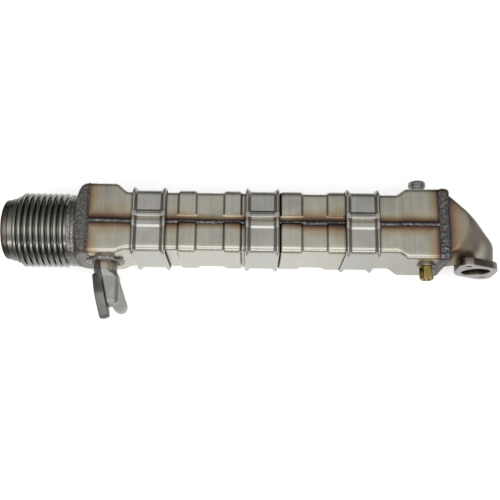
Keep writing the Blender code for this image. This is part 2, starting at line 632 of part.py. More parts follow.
def coolant_inlet(material, parent):
    """Cast coolant elbow: a round stub and a square body that ends in a tilted oval flange, with an
    ear on a web beside it. The passage runs up the stub and out through the flange."""
    rear, front, top, band = casing_size(PORT_X)
    root = -front - CLEARANCE
    flange_x = PORT_X + INLET_FLANGE_OFFSET
    flange_y = root - INLET_FLANGE_DROP
    tilt = math.radians(INLET_FLANGE_TILT)
    place = Matrix.Translation((flange_x, flange_y, PORT_Z)) @ Matrix.Rotation(tilt, 4, "Z")

    sections = []
    for drop in (0.0, INLET_STUB_LENGTH):
        outline = circle_outline(INLET_STUB_RADIUS, ROUND_STEPS, (PORT_X, PORT_Z))
        sections.append([Vector((a, root - drop, u)) for a, u in outline])
    for drop, shrink in ((INLET_BODY_START, 0.0), (INLET_BODY_DROP - INLET_BODY_ROUND, 0.0),
                         (INLET_BODY_DROP, INLET_BODY_ROUND)):
        left = flange_x + (drop - INLET_FLANGE_DROP) * math.tan(tilt)
        outline = box_outline(left, PORT_X + INLET_BODY_RIGHT - shrink / 2, INLET_BODY_HALF_DEPTH - shrink,
                              INLET_BODY_CORNER - shrink / 2, ROUND_STEPS)
        sections.append([Vector((a, root - drop, u + PORT_Z)) for a, u in outline])
    casting = add_node("coolant_inlet", solid_body(sections), material, parent)

    end_radius = INLET_FLANGE_RADIUS * 0.62
    reach = INLET_FLANGE_HALF_LENGTH - end_radius
    outline = tangent_hull([((0.0, 0.0), INLET_FLANGE_RADIUS), ((reach, 0.0), end_radius),
                            ((-reach, 0.0), end_radius)], BORE_STEPS)
    flange = []
    for share, size in ((-0.5, 1 - INLET_FLANGE_DRAFT), (0.0, 1.0), (0.5, 1 - INLET_FLANGE_DRAFT)):
        flange.append([place @ Vector((share * INLET_FLANGE_THICKNESS, a * size, u * size)) for a, u in outline])
    boolean(casting, guide("coolant_inlet_flange_form", solid_body(flange), parent), "UNION")

    ear = []
    ear_root = (PORT_X + INLET_EAR_ROOT_OFFSET, root - INLET_EAR_ROOT_DROP)
    ear_centre = (PORT_X + INLET_EAR_OFFSET, root - INLET_EAR_DROP)
    outline = tangent_hull([(ear_root, INLET_EAR_ROOT_RADIUS), (ear_centre, INLET_EAR_RADIUS)], BORE_STEPS)
    for level in (-INLET_EAR_HALF_DEPTH, INLET_EAR_HALF_DEPTH):
        ear.append([Vector((a, u, PORT_Z + level)) for a, u in outline])
    boolean(casting, guide("coolant_inlet_ear_form", solid_body(ear), parent), "UNION")

    passage = []
    inner = PORT_X + INLET_PASSAGE_OFFSET
    for x, drop, radius in ((PORT_X, -2 * SHEET, INLET_STUB_BORE), (PORT_X, INLET_STUB_LENGTH, INLET_STUB_BORE),
                            (inner, 2 * INLET_STUB_LENGTH, INLET_PASSAGE),
                            (inner, INLET_FLANGE_DROP + INLET_PASSAGE, INLET_PASSAGE)):
        outline = circle_outline(radius, BORE_STEPS, (x, PORT_Z))
        passage.append([Vector((a, root - drop, u)) for a, u in outline])
    boolean(casting, guide("coolant_inlet_passage", solid_body(passage), parent), "DIFFERENCE")

    face = -INLET_FLANGE_THICKNESS / 2
    cuts = [("bore", INLET_BORE, 0.0, face + INLET_BORE_DEPTH)]
    cuts += [(f"bolt_{n}", INLET_BOLT_RADIUS, s * INLET_BOLT_SPACING / 2, face + INLET_BOLT_DEPTH)
             for n, s in ((1, 1), (2, -1))]
    for name, radius, centre, end in cuts:
        rings = [[place @ Vector((x, a, u)) for a, u in circle_outline(radius, BORE_STEPS, (centre, 0.0))]
                 for x in (face - SHEET, end)]
        boolean(casting, guide("coolant_inlet_" + name, solid_body(rings), parent), "DIFFERENCE")
    return casting


def outlet_neck(material, parent):
    """Short coolant outlet neck on the outlet header's rear side, with a beaded end."""
    rear, front, top, band = casing_size(OUTLET_NECK_X)
    base = rear + CLEARANCE
    end = base + OUTLET_NECK_LENGTH
    sections = [[], []]
    for y, swell in ((base, OUTLET_NECK_FOOT), (base + 1.5 * OUTLET_NECK_FOOT, 0.0),
                     (end - OUTLET_NECK_BEAD_LENGTH, 0.0), (end - 0.6 * OUTLET_NECK_BEAD_LENGTH, OUTLET_NECK_BEAD),
                     (end - 0.15 * OUTLET_NECK_BEAD_LENGTH, 0.7 * OUTLET_NECK_BEAD), (end, 0.0)):
        for k, radius in ((0, OUTLET_NECK_RADIUS + swell), (1, OUTLET_NECK_RADIUS - OUTLET_NECK_WALL)):
            ring = circle_outline(radius, SMALL_STEPS, (OUTLET_NECK_X, 0.0))
            sections[k].append([Vector((a, y, u)) for a, u in ring])
    return add_node("coolant_outlet_neck", hollow_body(*sections), material, parent)


def fitting_parts(bung_material, brass, parent):
    """Steel bung welded to the outlet header and the brass hexagon fitting screwed into it."""
    rear, front, top, band = casing_size(FITTING_X)
    base = -front - CLEARANCE
    seat = base - BUNG_LENGTH
    bore = FITTING_BORE + 0.0012
    centre = (FITTING_X, FITTING_Z)
    outer = [[Vector((a, y, u)) for a, u in circle_outline(r, SMALL_STEPS, centre)]
             for y, r in ((base, BUNG_RADIUS), (seat + 0.001, BUNG_RADIUS), (seat, BUNG_RADIUS - 0.001))]
    inner = [[Vector((a, y, u)) for a, u in circle_outline(bore, SMALL_STEPS, centre)]
             for y in (base, seat + 0.001, seat)]
    add_node("fitting_bung", hollow_body(outer, inner), bung_material, parent)

    top_y = seat - CLEARANCE
    end_y = top_y - FITTING_LENGTH
    flat = FITTING_ACROSS_FLATS / 2
    sections = [[], []]
    for y, cut in ((top_y, FITTING_CHAMFER), (top_y - FITTING_CHAMFER, 0.0),
                   (end_y + FITTING_CHAMFER, 0.0), (end_y, FITTING_CHAMFER)):
        ring = []
        hole = []
        for i in range(24):
            angle = math.radians(15 * i + 7.5)
            to_corner = (math.degrees(angle) % 60) - 30
            radius = flat / math.cos(math.radians(to_corner)) - cut
            ring.append(Vector((FITTING_X + radius * math.cos(angle), y, FITTING_Z + radius * math.sin(angle))))
            hole.append(Vector((FITTING_X + FITTING_BORE * math.cos(angle), y,
                                FITTING_Z + FITTING_BORE * math.sin(angle))))
        sections[0].append(ring)
        sections[1].append(hole)
    add_node("brass_fitting", hollow_body(*sections), brass, parent)


def stand(parent):
    """Move the cooler so that the middle of its underside is at the world's origin."""
    bpy.context.view_layer.update()
    shown = bpy.context.evaluated_depsgraph_get()
    low = Vector((math.inf,) * 3)
    high = -low
    for item in parent.children:
        if item.hide_render:
            continue
        for corner in item.evaluated_get(shown).bound_box:
            for axis in range(3):
                low[axis] = min(low[axis], corner[axis])
                high[axis] = max(high[axis], corner[axis])
    parent.location = (-(low.x + high.x) / 2, -(low.y + high.y) / 2, -low.z)
    bpy.context.view_layer.update()


def build():
    """Remove what the file holds, make every piece and stand the cooler on Z = 0."""
    for item in list(bpy.data.objects):
        bpy.data.objects.remove(item, do_unlink=True)

    shell = steel("casing_stainless", (0.36, 0.33, 0.28), 0.38)
    band = steel("strap_stainless", (0.33, 0.32, 0.30), 0.36)
    dark = steel("scaled_steel", (0.09, 0.09, 0.085), 0.6)
    pipe = steel("bellows_stainless", (0.25, 0.25, 0.24), 0.3)
    tube = steel("tube_stainless", (0.42, 0.41, 0.39), 0.35)
    machined = steel("machined_steel", (0.45, 0.44, 0.42), 0.32)
    cast = steel("cast_steel", (0.2, 0.2, 0.185), 0.62, 0.7)
    brass = steel("brass", (0.42, 0.35, 0.12), 0.3)

    root = bpy.data.objects.new("egr_cooler", None)
    bpy.context.scene.collection.objects.link(root)

    rear_shell = casing_half("rear_shell", 1, shell, root)
    front_shell = casing_half("front_shell", -1, shell, root)
    for number, centre in enumerate(STRAP_CENTRES, 1):
        strap_half(f"strap_{number}_rear", centre, 1, band, root)
        strap_half(f"strap_{number}_front", centre, -1, band, root)

    inlet_plate_x = CASING_START + CLEARANCE
    outlet_plate_x = CASING_END + CLEARANCE
    plate_with_tubes("inlet_header_plate", casing_inside(CASING_START, CLEARANCE), inlet_plate_x,
                     INLET_PLATE, tube, root)
    rear, front, top, _ = casing_size(CASING_END)
    plate_with_tubes("outlet_header_plate", box_outline(-front, rear, top, CASING_CORNER, ROUND_STEPS),
                     outlet_plate_x, OUTLET_PLATE, dark, root)
    tube_start = inlet_plate_x - TUBE_STAND_OUT
    tube_end = outlet_plate_x + OUTLET_PLATE + TUBE_STAND_OUT
    for number, level in enumerate(tube_levels(), 1):
        gas_tube(f"gas_tube_{number}", level, tube_start, tube_end, tube, root)
        tube_fin(f"tube_fin_{number}", level, tube_start, tube_end, tube, root)
    for number, centre in enumerate(BAFFLE_CENTRES, 1):
        outline = casing_inside(centre, CLEARANCE)
        plate_with_tubes(f"tube_baffle_{number}", outline, centre, BAFFLE_THICKNESS, tube, root)

    _, cone_start = inlet_cone(dark, root)
    _, collar_lip = neck_collar(cone_start - CLEARANCE, dark, root)
    _, bellows_start = bellows(collar_lip, pipe, root)
    mouth_ring(bellows_start, machined, root)

    outlet_hood(shell, root)
    outlet_flange(machined, root)
    port_ring(band, root)
    coolant_inlet(cast, root)
    outlet_neck(band, root)
    fitting_parts(machined, brass, root)

    port_hole(front_shell, "inlet_port_hole", PORT_X, PORT_Z, INLET_STUB_BORE, -1, root)
    port_hole(front_shell, "fitting_hole", FITTING_X, FITTING_Z, FITTING_BORE, -1, root)
    neck_bore = OUTLET_NECK_RADIUS - OUTLET_NECK_WALL
    port_hole(rear_shell, "outlet_neck_hole", OUTLET_NECK_X, 0.0, neck_bore, 1, root)
    stand(root)


build()
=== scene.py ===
import math

import bmesh
import bpy
from mathutils import Matrix, Vector, noise


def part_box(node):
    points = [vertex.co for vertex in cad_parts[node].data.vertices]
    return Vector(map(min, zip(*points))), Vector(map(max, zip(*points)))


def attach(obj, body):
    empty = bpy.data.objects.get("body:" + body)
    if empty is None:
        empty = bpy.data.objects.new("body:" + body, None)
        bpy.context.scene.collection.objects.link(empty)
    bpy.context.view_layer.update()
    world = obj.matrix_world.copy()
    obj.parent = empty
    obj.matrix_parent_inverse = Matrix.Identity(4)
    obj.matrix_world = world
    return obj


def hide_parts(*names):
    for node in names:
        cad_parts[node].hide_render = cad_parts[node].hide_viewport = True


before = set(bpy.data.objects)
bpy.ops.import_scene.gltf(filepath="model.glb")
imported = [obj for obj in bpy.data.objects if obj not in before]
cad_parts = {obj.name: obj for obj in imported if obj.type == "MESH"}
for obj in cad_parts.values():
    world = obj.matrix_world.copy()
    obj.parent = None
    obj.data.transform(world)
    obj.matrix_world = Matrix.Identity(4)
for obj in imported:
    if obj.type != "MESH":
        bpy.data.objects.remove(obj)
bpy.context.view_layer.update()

# CASING HALVES
# Two pressed stainless halves in 1.6 mm sheet, drawn with raised bands and a bulged header at each
# end. The rear half laps over the front half's lip along the middle of both seam faces.
rear_low, rear_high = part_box("rear_shell")
front_low, front_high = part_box("front_shell")
seam_y = rear_low[1]
axis_z = (rear_low[2] + rear_high[2]) / 2
casing_start = min(rear_low[0], front_low[0])
casing_end = max(rear_high[0], front_high[0])
casing_left = 0.2535         # from the casing's middle to its inlet end
origin = Vector((casing_start + casing_left, seam_y, axis_z))     # the casing's middle, on its axis
casing_right = casing_end - origin.x

sheet = 0.0016
half_width = 0.047
half_height = 0.055
casing_corner = 0.0068
header_top = 0.003
inlet_slope = (-0.212, -0.212 + 0.021)
inlet_bulge = (0.0125, 0.0066)   # how far a header bulges to the rear and to the front
outlet_slope = (0.243 - 0.019, 0.243)
outlet_bulge = (0.0096, 0.0099)
bands = ((-0.110, -0.088), (-0.039, -0.0186), (0.049, 0.076), (0.121, 0.1454))
band_height = 0.0032
band_slope = 0.006
band_stop = (0.0074, 0.0100)     # the rear half's bands fade out over this reach from the seam
lip_edge = -0.006                # the front half's lip ends this far under the rear half
fit_gap = 0.0003
wave_radius = 0.05               # the sheet's waviness is full at this distance from the axis


def ease(value, start, end):
    """0 before start, 1 after end and a smooth step between."""
    t = min(1.0, max(0.0, (value - start) / (end - start)))
    return t * t * (3 - 2 * t)


def casing_size(x):
    """Half width to the rear and to the front, half height and band height of the casing at x."""
    inlet = 1 - ease(x, *inlet_slope)
    outlet = ease(x, *outlet_slope)
    rear = half_width + inlet_bulge[0] * inlet + outlet_bulge[0] * outlet
    front = half_width + inlet_bulge[1] * inlet + outlet_bulge[1] * outlet
    top = half_height + header_top * (inlet + outlet)
    band = 0.0
    for start, end in bands:
        rise = ease(x, start - band_slope, start) - ease(x, end, end + band_slope)
        band = max(band, band_height * rise)
    return rear, front, top, band


def spread(start, end, step):
    """Evenly spaced values from start to end, no further apart than step."""
    count = max(1, math.ceil(abs(end - start) / step))
    return [start + (end - start) * i / count for i in range(count + 1)]


def half_outline(width, top, corner, seam):
    """Fine U-shaped outline of a half, as (across, up) pairs. seam lists (across, drop) points."""
    upper = [(across, top - drop) for across, drop in seam]
    first, last = seam[-1][0], width - corner
    upper += [(first + (last - first) * i / 8, top) for i in range(1, 8)]
    for i in range(11):
        angle = math.radians(90 - 9 * i)
        upper.append((width - corner + corner * math.cos(angle), top - corner + corner * math.sin(angle)))
    side = [(width, (top - corner) * (1 - i / 12)) for i in range(1, 24)]
    return upper + side + [(across, -up) for across, up in reversed(upper)]


def placed(name, data):
    """A new object in the scene."""
    made = bpy.data.objects.new(name, data)
    bpy.context.scene.collection.objects.link(made)
    return made


def meshed(name, bm, sharp):
    """An object from an edit mesh, smooth except at edges sharper than an angle in degrees."""
    mesh = bpy.data.meshes.new(name)
    bm.to_mesh(mesh)
    bm.free()
    mesh.shade_smooth()
    mesh.set_sharp_from_angle(angle=math.radians(sharp))
    return placed(name, mesh)


def skin_object(name, rows, wrap_rows=False, wrap_points=False, caps=False, sharp=40):
    """A mesh object from rows of points in the casing's own axes, moved to its place in the mesh."""
    bm = bmesh.new()
    grid = [[bm.verts.new(Vector(point) + origin) for point in row] for row in rows]
    count = len(grid[0])
    pairs = list(zip(grid, grid[1:]))
    if wrap_rows:
        pairs.append((grid[-1], grid[0]))
    for first, second in pairs:
        for i in range(count if wrap_points else count - 1):
            j = (i + 1) % count
            bm.faces.new((first[i], first[j], second[j], second[i]))
    if caps:
        for row in (grid[0], grid[-1]):
            for i in range(count // 2 - 1):
                bm.faces.new((row[i], row[i + 1], row[count - 2 - i], row[count - 1 - i]))
    bmesh.ops.recalc_face_normals(bm, faces=bm.faces)
    return meshed(name, bm, sharp)


def dress(piece, material, slot, *nodes):
    """Give a finished piece its material and body, and hide the solids it stands for. The slot is not used."""
    piece.data.materials.clear()
    piece.data.materials.append(material)
    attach(piece, "root")
    if nodes:
        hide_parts(*nodes)


def opaque(colour):
    """A colour, or a grey given as one number, with full alpha."""
    return (*colour, 1.0) if isinstance(colour, tuple) else (colour, colour, colour, 1.0)


def wire(tree, node, inputs):
    """Link sockets to a node's inputs, or set them to numbers, vectors, colours or greys."""
    for key, value in inputs.items():
        socket = node.inputs[key]
        if isinstance(value, bpy.types.NodeSocket):
            tree.links.new(value, socket)
        else:
            socket.default_value = opaque(value) if socket.type == "RGBA" else value


def node_in(tree, kind, inputs, **settings):
    """Add a node with its settings and inputs."""
    made = tree.nodes.new(kind)
    for name, value in settings.items():
        setattr(made, name, value)
    wire(tree, made, inputs)
    return made


def calc(tree, operation, *values, clamp=False):
    """A Math node; gives its output."""
    made = node_in(tree, "ShaderNodeMath", dict(enumerate(values)), operation=operation, use_clamp=clamp)
    return made.outputs[0]


def vector_calc(tree, operation, first, second):
    """A Vector Math node; gives the node."""
    return node_in(tree, "ShaderNodeVectorMath", {0: first, 1: second}, operation=operation)


def mix_colour(tree, factor, first, second, blend="MIX"):
    """A colour Mix node; gives its output."""
    inputs = {0: factor, 6: first, 7: second}
    return node_in(tree, "ShaderNodeMix", inputs, data_type="RGBA", blend_type=blend).outputs[2]


def noise_field(tree, vector, scale, detail, roughness=0.5):
    """Noise over a vector; gives its value."""
    inputs = {"Vector": vector, "Scale": scale, "Detail": detail, "Roughness": roughness}
    return node_in(tree, "ShaderNodeTexNoise", inputs).outputs["Fac"]


def bumped(tree, height, strength, distance):
    """Bump from a height; gives the normal."""
    inputs = {"Height": height, "Strength": strength, "Distance": distance}
    return node_in(tree, "ShaderNodeBump", inputs).outputs[0]


def colour_ramp(tree, factor, stops):
    """A Color Ramp with its stops in colours or greys; gives its output."""
    made = node_in(tree, "ShaderNodeValToRGB", {0: factor})
    marks = made.color_ramp.elements
    marks.remove(marks[-1])
    marks[0].position = stops[0][0]
    marks[0].color = opaque(stops[0][1])
    for place, colour in stops[1:]:
        marks.new(place).color = opaque(colour)
    return made.outputs[0]


def new_group(name, inputs, outputs, kind="ShaderNodeTree"):
    """An empty node group with its sockets; gives the tree, its input sockets and its output node."""
    group = bpy.data.node_groups.new(name, kind)
    for label, socket in inputs:
        group.interface.new_socket(label, in_out="INPUT", socket_type="NodeSocket" + socket)
    for label, socket in outputs:
        group.interface.new_socket(label, in_out="OUTPUT", socket_type="NodeSocket" + socket)
    return group, group.nodes.new("NodeGroupInput").outputs, group.nodes.new("NodeGroupOutput")


# Heat tint: weld heat colours stainless dark blue, red-brown and straw before it fades to bare metal.
heat_tint, tint_in, tint_out = new_group(
    "heat_tint",
    [("Base", "Color"), ("Distance", "Float"), ("Reach", "Float"), ("Amount", "Float"), ("Vector", "Vector")],
    [("Color", "Color")])
uneven = calc(heat_tint, "MULTIPLY_ADD", noise_field(heat_tint, tint_in["Vector"], 28.0, 3.0), 1.5, 0.25)
uneven_reach = calc(heat_tint, "MULTIPLY", tint_in["Reach"], uneven)
near = calc(heat_tint, "DIVIDE", tint_in["Distance"], uneven_reach, clamp=True)
tint = colour_ramp(heat_tint, near, [
    (0.0, (0.040, 0.034, 0.045)), (0.05, (0.080, 0.045, 0.055)), (0.13, (0.180, 0.085, 0.045)),
    (0.30, (0.310, 0.190, 0.085)), (0.58, (0.380, 0.300, 0.165)), (1.0, (0.48, 0.44, 0.34))])
strength = colour_ramp(heat_tint, near, [(0.0, 1.0), (0.12, 0.88), (0.32, 0.66), (0.62, 0.42), (1.0, 0.0)])
tint_mask = calc(heat_tint, "MULTIPLY", strength, tint_in["Amount"], clamp=True)
wire(heat_tint, tint_out, {"Color": mix_colour(heat_tint, tint_mask, tint_in["Base"], tint)})

# Sheet grain: drawn and rolled sheet has fine lines one way, faint clouds and small marks.
sheet_grain, grain_in, grain_out = new_group(
    "sheet_grain",
    [("Vector", "Vector"), ("Line Scale", "Vector"), ("Depth", "Float")],
    [("Shade", "Float"), ("Rough", "Float"), ("Height", "Float")])
stretch = vector_calc(sheet_grain, "MULTIPLY", grain_in["Vector"], grain_in["Line Scale"])
lines = noise_field(sheet_grain, stretch.outputs[0], 1.0, 4.0, 0.6)
clouds = noise_field(sheet_grain, grain_in["Vector"], 22.0, 4.0, 0.55)
line_part = calc(sheet_grain, "MULTIPLY", calc(sheet_grain, "SUBTRACT", lines, 0.5), grain_in["Depth"])
cloud_part = calc(sheet_grain, "MULTIPLY", calc(sheet_grain, "SUBTRACT", clouds, 0.5), 0.5)
wire(sheet_grain, grain_out, {
    "Shade": calc(sheet_grain, "ADD", 1.0, calc(sheet_grain, "ADD", line_part, cloud_part)),
    "Rough": calc(sheet_grain, "ADD", line_part, calc(sheet_grain, "MULTIPLY", cloud_part, 0.5)),
    "Height": line_part})


def new_material(name, roughness, metallic=1.0):
    """A material with a Principled shader; gives the material, its tree, the shader and the vector."""
    made = bpy.data.materials.new(name)
    made.use_nodes = True
    tree = made.node_tree
    shader = tree.nodes["Principled BSDF"]
    wire(tree, shader, {"Metallic": metallic, "Roughness": roughness})
    return made, tree, shader, tree.nodes.new("ShaderNodeTexCoord").outputs["Object"]


def grained_metal(name, colour, roughness, line_scale, depth):
    """Metal with lines, clouds and uneven gloss; gives the material, tree, shader, place and colour."""
    made, tree, shader, place = new_material(name, roughness)
    inputs = {"Vector": place, "Line Scale": line_scale, "Depth": depth}
    grain = node_in(tree, "ShaderNodeGroup", inputs, node_tree=sheet_grain).outputs
    shaded = vector_calc(tree, "MULTIPLY", colour, grain["Shade"]).outputs[0]
    wire(tree, shader, {"Base Color": shaded,
                        "Roughness": calc(tree, "ADD", grain["Rough"], roughness, clamp=True),
                        "Normal": bumped(tree, grain["Height"], 0.6, 0.00005)})
    return made, tree, shader, place, shaded


def add_tint(tree, shader, place, colour, distance, reach, amount):
    """Lay heat tint over a material's colour; gives the new colour."""
    inputs = {"Base": colour, "Distance": distance, "Reach": reach, "Amount": amount, "Vector": place}
    tinted = node_in(tree, "ShaderNodeGroup", inputs, node_tree=heat_tint).outputs["Color"]
    wire(tree, shader, {"Base Color": tinted})
    return tinted


def away_from(tree, place, axis, value):
    """Distance along one axis from a plane, as a socket."""
    split = node_in(tree, "ShaderNodeSeparateXYZ", {0: place})
    return calc(tree, "ABSOLUTE", calc(tree, "SUBTRACT", split.outputs[axis], value))


casing_metal, tree, shader, place, colour = grained_metal(
    "casing_sheet", (0.450, 0.440, 0.390), 0.30, (210.0, 10.0, 10.0), 0.36)
stretched = vector_calc(tree, "MULTIPLY", place, (1.0, 0.25, 0.25)).outputs[0]
patches = noise_field(tree, stretched, 11.0, 2.0)
bead_edge = 0.0025
tint_reach = 0.027
seam_gap = calc(tree, "SUBTRACT", away_from(tree, place, 1, seam_y - sheet), bead_edge)
patchy = calc(tree, "SUBTRACT", calc(tree, "MULTIPLY", patches, 2.6), 0.55)
seam_wide = calc(tree, "DIVIDE", seam_gap, calc(tree, "MAXIMUM", patchy, 0.25))
end_gap = calc(tree, "MINIMUM", away_from(tree, place, 0, casing_start),
               away_from(tree, place, 0, casing_end - 0.002))
gap = calc(tree, "MINIMUM", seam_wide, calc(tree, "MULTIPLY", end_gap, 1.15))
colour = mix_colour(tree, calc(tree, "MULTIPLY", patches, 0.36), colour, (0.46, 0.39, 0.27))
colour = add_tint(tree, shader, place, colour, gap, tint_reach, 1.0)

# Painted shade lies beside the straps, where their flared edges shade the casing, and fades over 6 mm; soot
# lies beside the seam and fades over 11 mm.
strap_middles = [(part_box(f"strap_{n}_rear")[0][0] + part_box(f"strap_{n}_rear")[1][0]) / 2 for n in (1, 2, 3)]
strap_side = 0.0245
strap_gap = away_from(tree, place, 0, strap_middles[0])
for middle in strap_middles[1:]:
    strap_gap = calc(tree, "MINIMUM", strap_gap, away_from(tree, place, 0, middle))
strap_gap = calc(tree, "MULTIPLY", calc(tree, "SUBTRACT", strap_gap, strap_side), 160.0, clamp=True)
painted_strap_shade = colour_ramp(tree, strap_gap, [
    (0.0, (0.14, 0.13, 0.12)), (0.30, (0.30, 0.28, 0.26)), (0.75, 0.85), (1.0, 1.0)])
soot = colour_ramp(tree, calc(tree, "MULTIPLY", seam_gap, 90.0, clamp=True), [
    (0.0, (0.48, 0.45, 0.42)), (0.35, (0.66, 0.62, 0.58)), (1.0, 1.0)])
colour = mix_colour(tree, 1.0, colour, painted_strap_shade, "MULTIPLY")
wire(tree, shader, {"Base Color": mix_colour(tree, 1.0, colour, soot, "MULTIPLY")})


def casing_stations():
    """X of each row of points: close on the slopes and looser on the flats."""
    slopes = [(start - 0.001, end + 0.001) for start, end in (inlet_slope, outlet_slope)]
    for start, end in bands:
        slopes += [(start - band_slope, start), (end, end + band_slope)]
    marks = [-casing_left] + [x for pair in sorted(slopes) for x in pair] + [casing_right]
    xs = []
    for first, second in zip(marks, marks[1:]):
        sloped = (first, second) in slopes
        xs += spread(first, second, 0.0007 if sloped else 0.005)[:-1]
    return xs + [marks[-1]]


def sheet_wave(x, across, up):
    """The slight waviness of pressed sheet, in metres."""
    return 0.00022 * noise.noise(Vector((x * 22, across * 30, up * 30))) \
        + 0.00007 * noise.noise(Vector((x * 90, across * 70, up * 70)))


def casing_piece(name, side):
    """One half of the casing, both skins of the sheet."""
    rows = []
    for x in casing_stations():
        rear, front, top, band = casing_size(x)
        width = (rear if side > 0 else front) + band
        row = []
        for inset in (0.0, sheet):
            if side > 0:
                seam = [(across, band * (1 - ease(across, *band_stop)))
                        for across in spread(0.0, 0.019, 0.001)]
            else:
                step = band + sheet + fit_gap
                seam = [(lip_edge, step), (lip_edge / 2, step)]
                seam += [(across, step * (1 - ease(across, 0.0003, 0.0030)))
                         for across in spread(0.0003, 0.0034, 0.0005)]
            outline = half_outline(width - inset, top + band - inset, casing_corner + band - inset, seam)
            wave = [sheet_wave(x, side * a, u) * ease(abs(a), 0.004, 0.02) for a, u in outline]
            row.append([(x, side * (a + w * abs(a) / wave_radius), u * (1 + w / wave_radius))
                        for (a, u), w in zip(outline, wave)])
        rows.append(row[0] + row[1][::-1])
    return skin_object(name, rows, wrap_points=True, caps=True)


dress(casing_piece("casing_rear_half", 1), casing_metal, "casing_steel", "rear_shell")
dress(casing_piece("casing_front_half", -1), casing_metal, "casing_steel", "front_shell")

# STRAPS
# Three stiffening straps hold the casing against the coolant's pressure. Each is two bent channels of
# 2.4 mm sheet with flared edges; the rear one's end laps over the front one on both seam faces.
strap_sheet = 0.0024
strap_flat = 0.0155
strap_crest = 0.02275
strap_height = 0.0078
lap_start = 0.0120           # the rear half is fully raised up to here and back down at lap_end
lap_end = 0.0160
lap_lift = 0.0033
bar_height = 0.0009          # raised bar along the rear half's lapping edge
tuck = 0.0006                # rise of the front half's tucked edge
weld_hump = 0.0011           # rise of the front half over the seam weld


def both_skins(outer, inner):
    """Rows that run along the outer sections and back along the inner ones."""
    return [out + back[::-1] for out, back in zip(zip(*outer), zip(*inner))]


def strap_section():
    """Section of a strap along X as (x, height above the casing), flat in the middle, flared out."""
    seat = strap_sheet + fit_gap
    flare = []
    for i in range(13):
        t = i / 12
        x = strap_flat + (strap_crest + 0.0012 - strap_flat) * t
        flare.append((x, seat + (strap_height - seat) * ease(t, 0.10, 0.97) ** 1.15))
    flare.append((strap_crest + 0.0026, strap_height - 0.0010))
    flat = [(x, seat) for x in spread(-strap_flat, strap_flat, 0.003)[1:-1]]
    return [(-x, h) for x, h in reversed(flare)] + flat + flare


def strap_piece(name, side):
    """One strap half centred on X = 0, as rows round the casing."""
    skins = ([], [])
    for x, height in strap_section():
        for k, depth in ((0, 0.0), (1, strap_sheet)):
            offset = height - depth
            lean = 0.0 if abs(x) <= strap_flat else math.copysign(0.5 * depth, x)
            room = strap_height - height
            if side > 0:
                lift = min(lap_lift, room)
                bar = min(bar_height, room - lift)
                seam = []
                for across in spread(0.0045, 0.0165, 0.0006):
                    rise = lift * (1 - ease(across, lap_start, lap_end))
                    rise += bar * (ease(across, 0.0047, 0.0056) - ease(across, 0.0096, 0.0106))
                    seam.append((across, -rise))
            else:
                hump = min(weld_hump, room)
                tucked = min(tuck, room)
                edge = -0.0105 if abs(x) <= strap_flat else -0.0039
                seam = [(edge, -tucked), (min(edge + 0.004, 0.0), -tucked)]
                seam += [(across, -hump * (1 - ease(across, 0.0080, 0.0125)) * ease(across, -0.003, 0.003)
                          - tucked * (1 - ease(across, -0.003, 0.003)))
                         for across in spread(0.0006, 0.0130, 0.0006)]
            outline = half_outline(half_width + offset, half_height + offset, casing_corner + offset, seam)
            skins[k].append([(x + lean, side * across, up) for across, up in outline])
    return skin_object(name, both_skins(*skins), wrap_points=True, caps=True, sharp=50)


strap_metal, tree, shader, place, colour = grained_metal(
    "strap_sheet", (0.420, 0.408, 0.372), 0.31, (300.0, 12.0, 12.0), 0.28)
lap_gap = calc(tree, "ADD", away_from(tree, place, 1, seam_y + 0.001), 0.0015)
add_tint(tree, shader, place, colour, lap_gap, 0.0060, 0.6)

# Geometry nodes that set a copy of a piece on every point of the mesh they are given.
copier, spots_in, copies_out = new_group(
    "copies_on_points", [("Geometry", "Geometry"), ("Piece", "Object"), ("Material", "Material")],
    [("Geometry", "Geometry")], "GeometryNodeTree")
info = node_in(copier, "GeometryNodeObjectInfo", {"Object": spots_in["Piece"]})
spots = node_in(copier, "GeometryNodeInstanceOnPoints", {
    "Points": spots_in["Geometry"], "Instance": info.outputs["Geometry"]})
real = node_in(copier, "GeometryNodeRealizeInstances", {"Geometry": spots.outputs["Instances"]})
merged = node_in(copier, "GeometryNodeMergeByDistance", {
    "Geometry": real.outputs["Geometry"], "Distance": 0.0000001})
paint = node_in(copier, "GeometryNodeSetMaterial", {
    "Geometry": merged.outputs["Geometry"], "Material": spots_in["Material"]})
wire(copier, copies_out, {"Geometry": paint.outputs["Geometry"]})


def copies(name, piece, points, material):
    """Copies of a piece on the points, made by the geometry nodes and turned into a plain mesh."""
    spots = bpy.data.meshes.new(name + "_spots")
    spots.from_pydata([Vector(point) for point in points], [], [])
    made = placed(name, spots)
    modifier = made.modifiers.new("copies", "NODES")
    modifier.node_group = copier
    given = {"Piece": piece, "Material": material}
    for item in copier.interface.items_tree:
        if item.in_out == "INPUT" and item.name in given:
            modifier[item.identifier] = given[item.name]
    mesh = bpy.data.meshes.new_from_object(made.evaluated_get(bpy.context.evaluated_depsgraph_get()))
    made.modifiers.remove(modifier)
    made.data = mesh
    bpy.data.objects.remove(piece, do_unlink=True)
    return made


strap_points = [(middle - origin.x, 0.0, 0.0) for middle in strap_middles]
pattern = strap_piece("strap_rear_pattern", 1)
dress(copies("straps_rear_halves", pattern, strap_points, strap_metal), strap_metal, "strap_steel",
      "strap_1_rear", "strap_2_rear", "strap_3_rear")
pattern = strap_piece("strap_front_pattern", -1)
dress(copies("straps_front_halves", pattern, strap_points, strap_metal), strap_metal, "strap_steel",
      "strap_1_front", "strap_2_front", "strap_3_front")

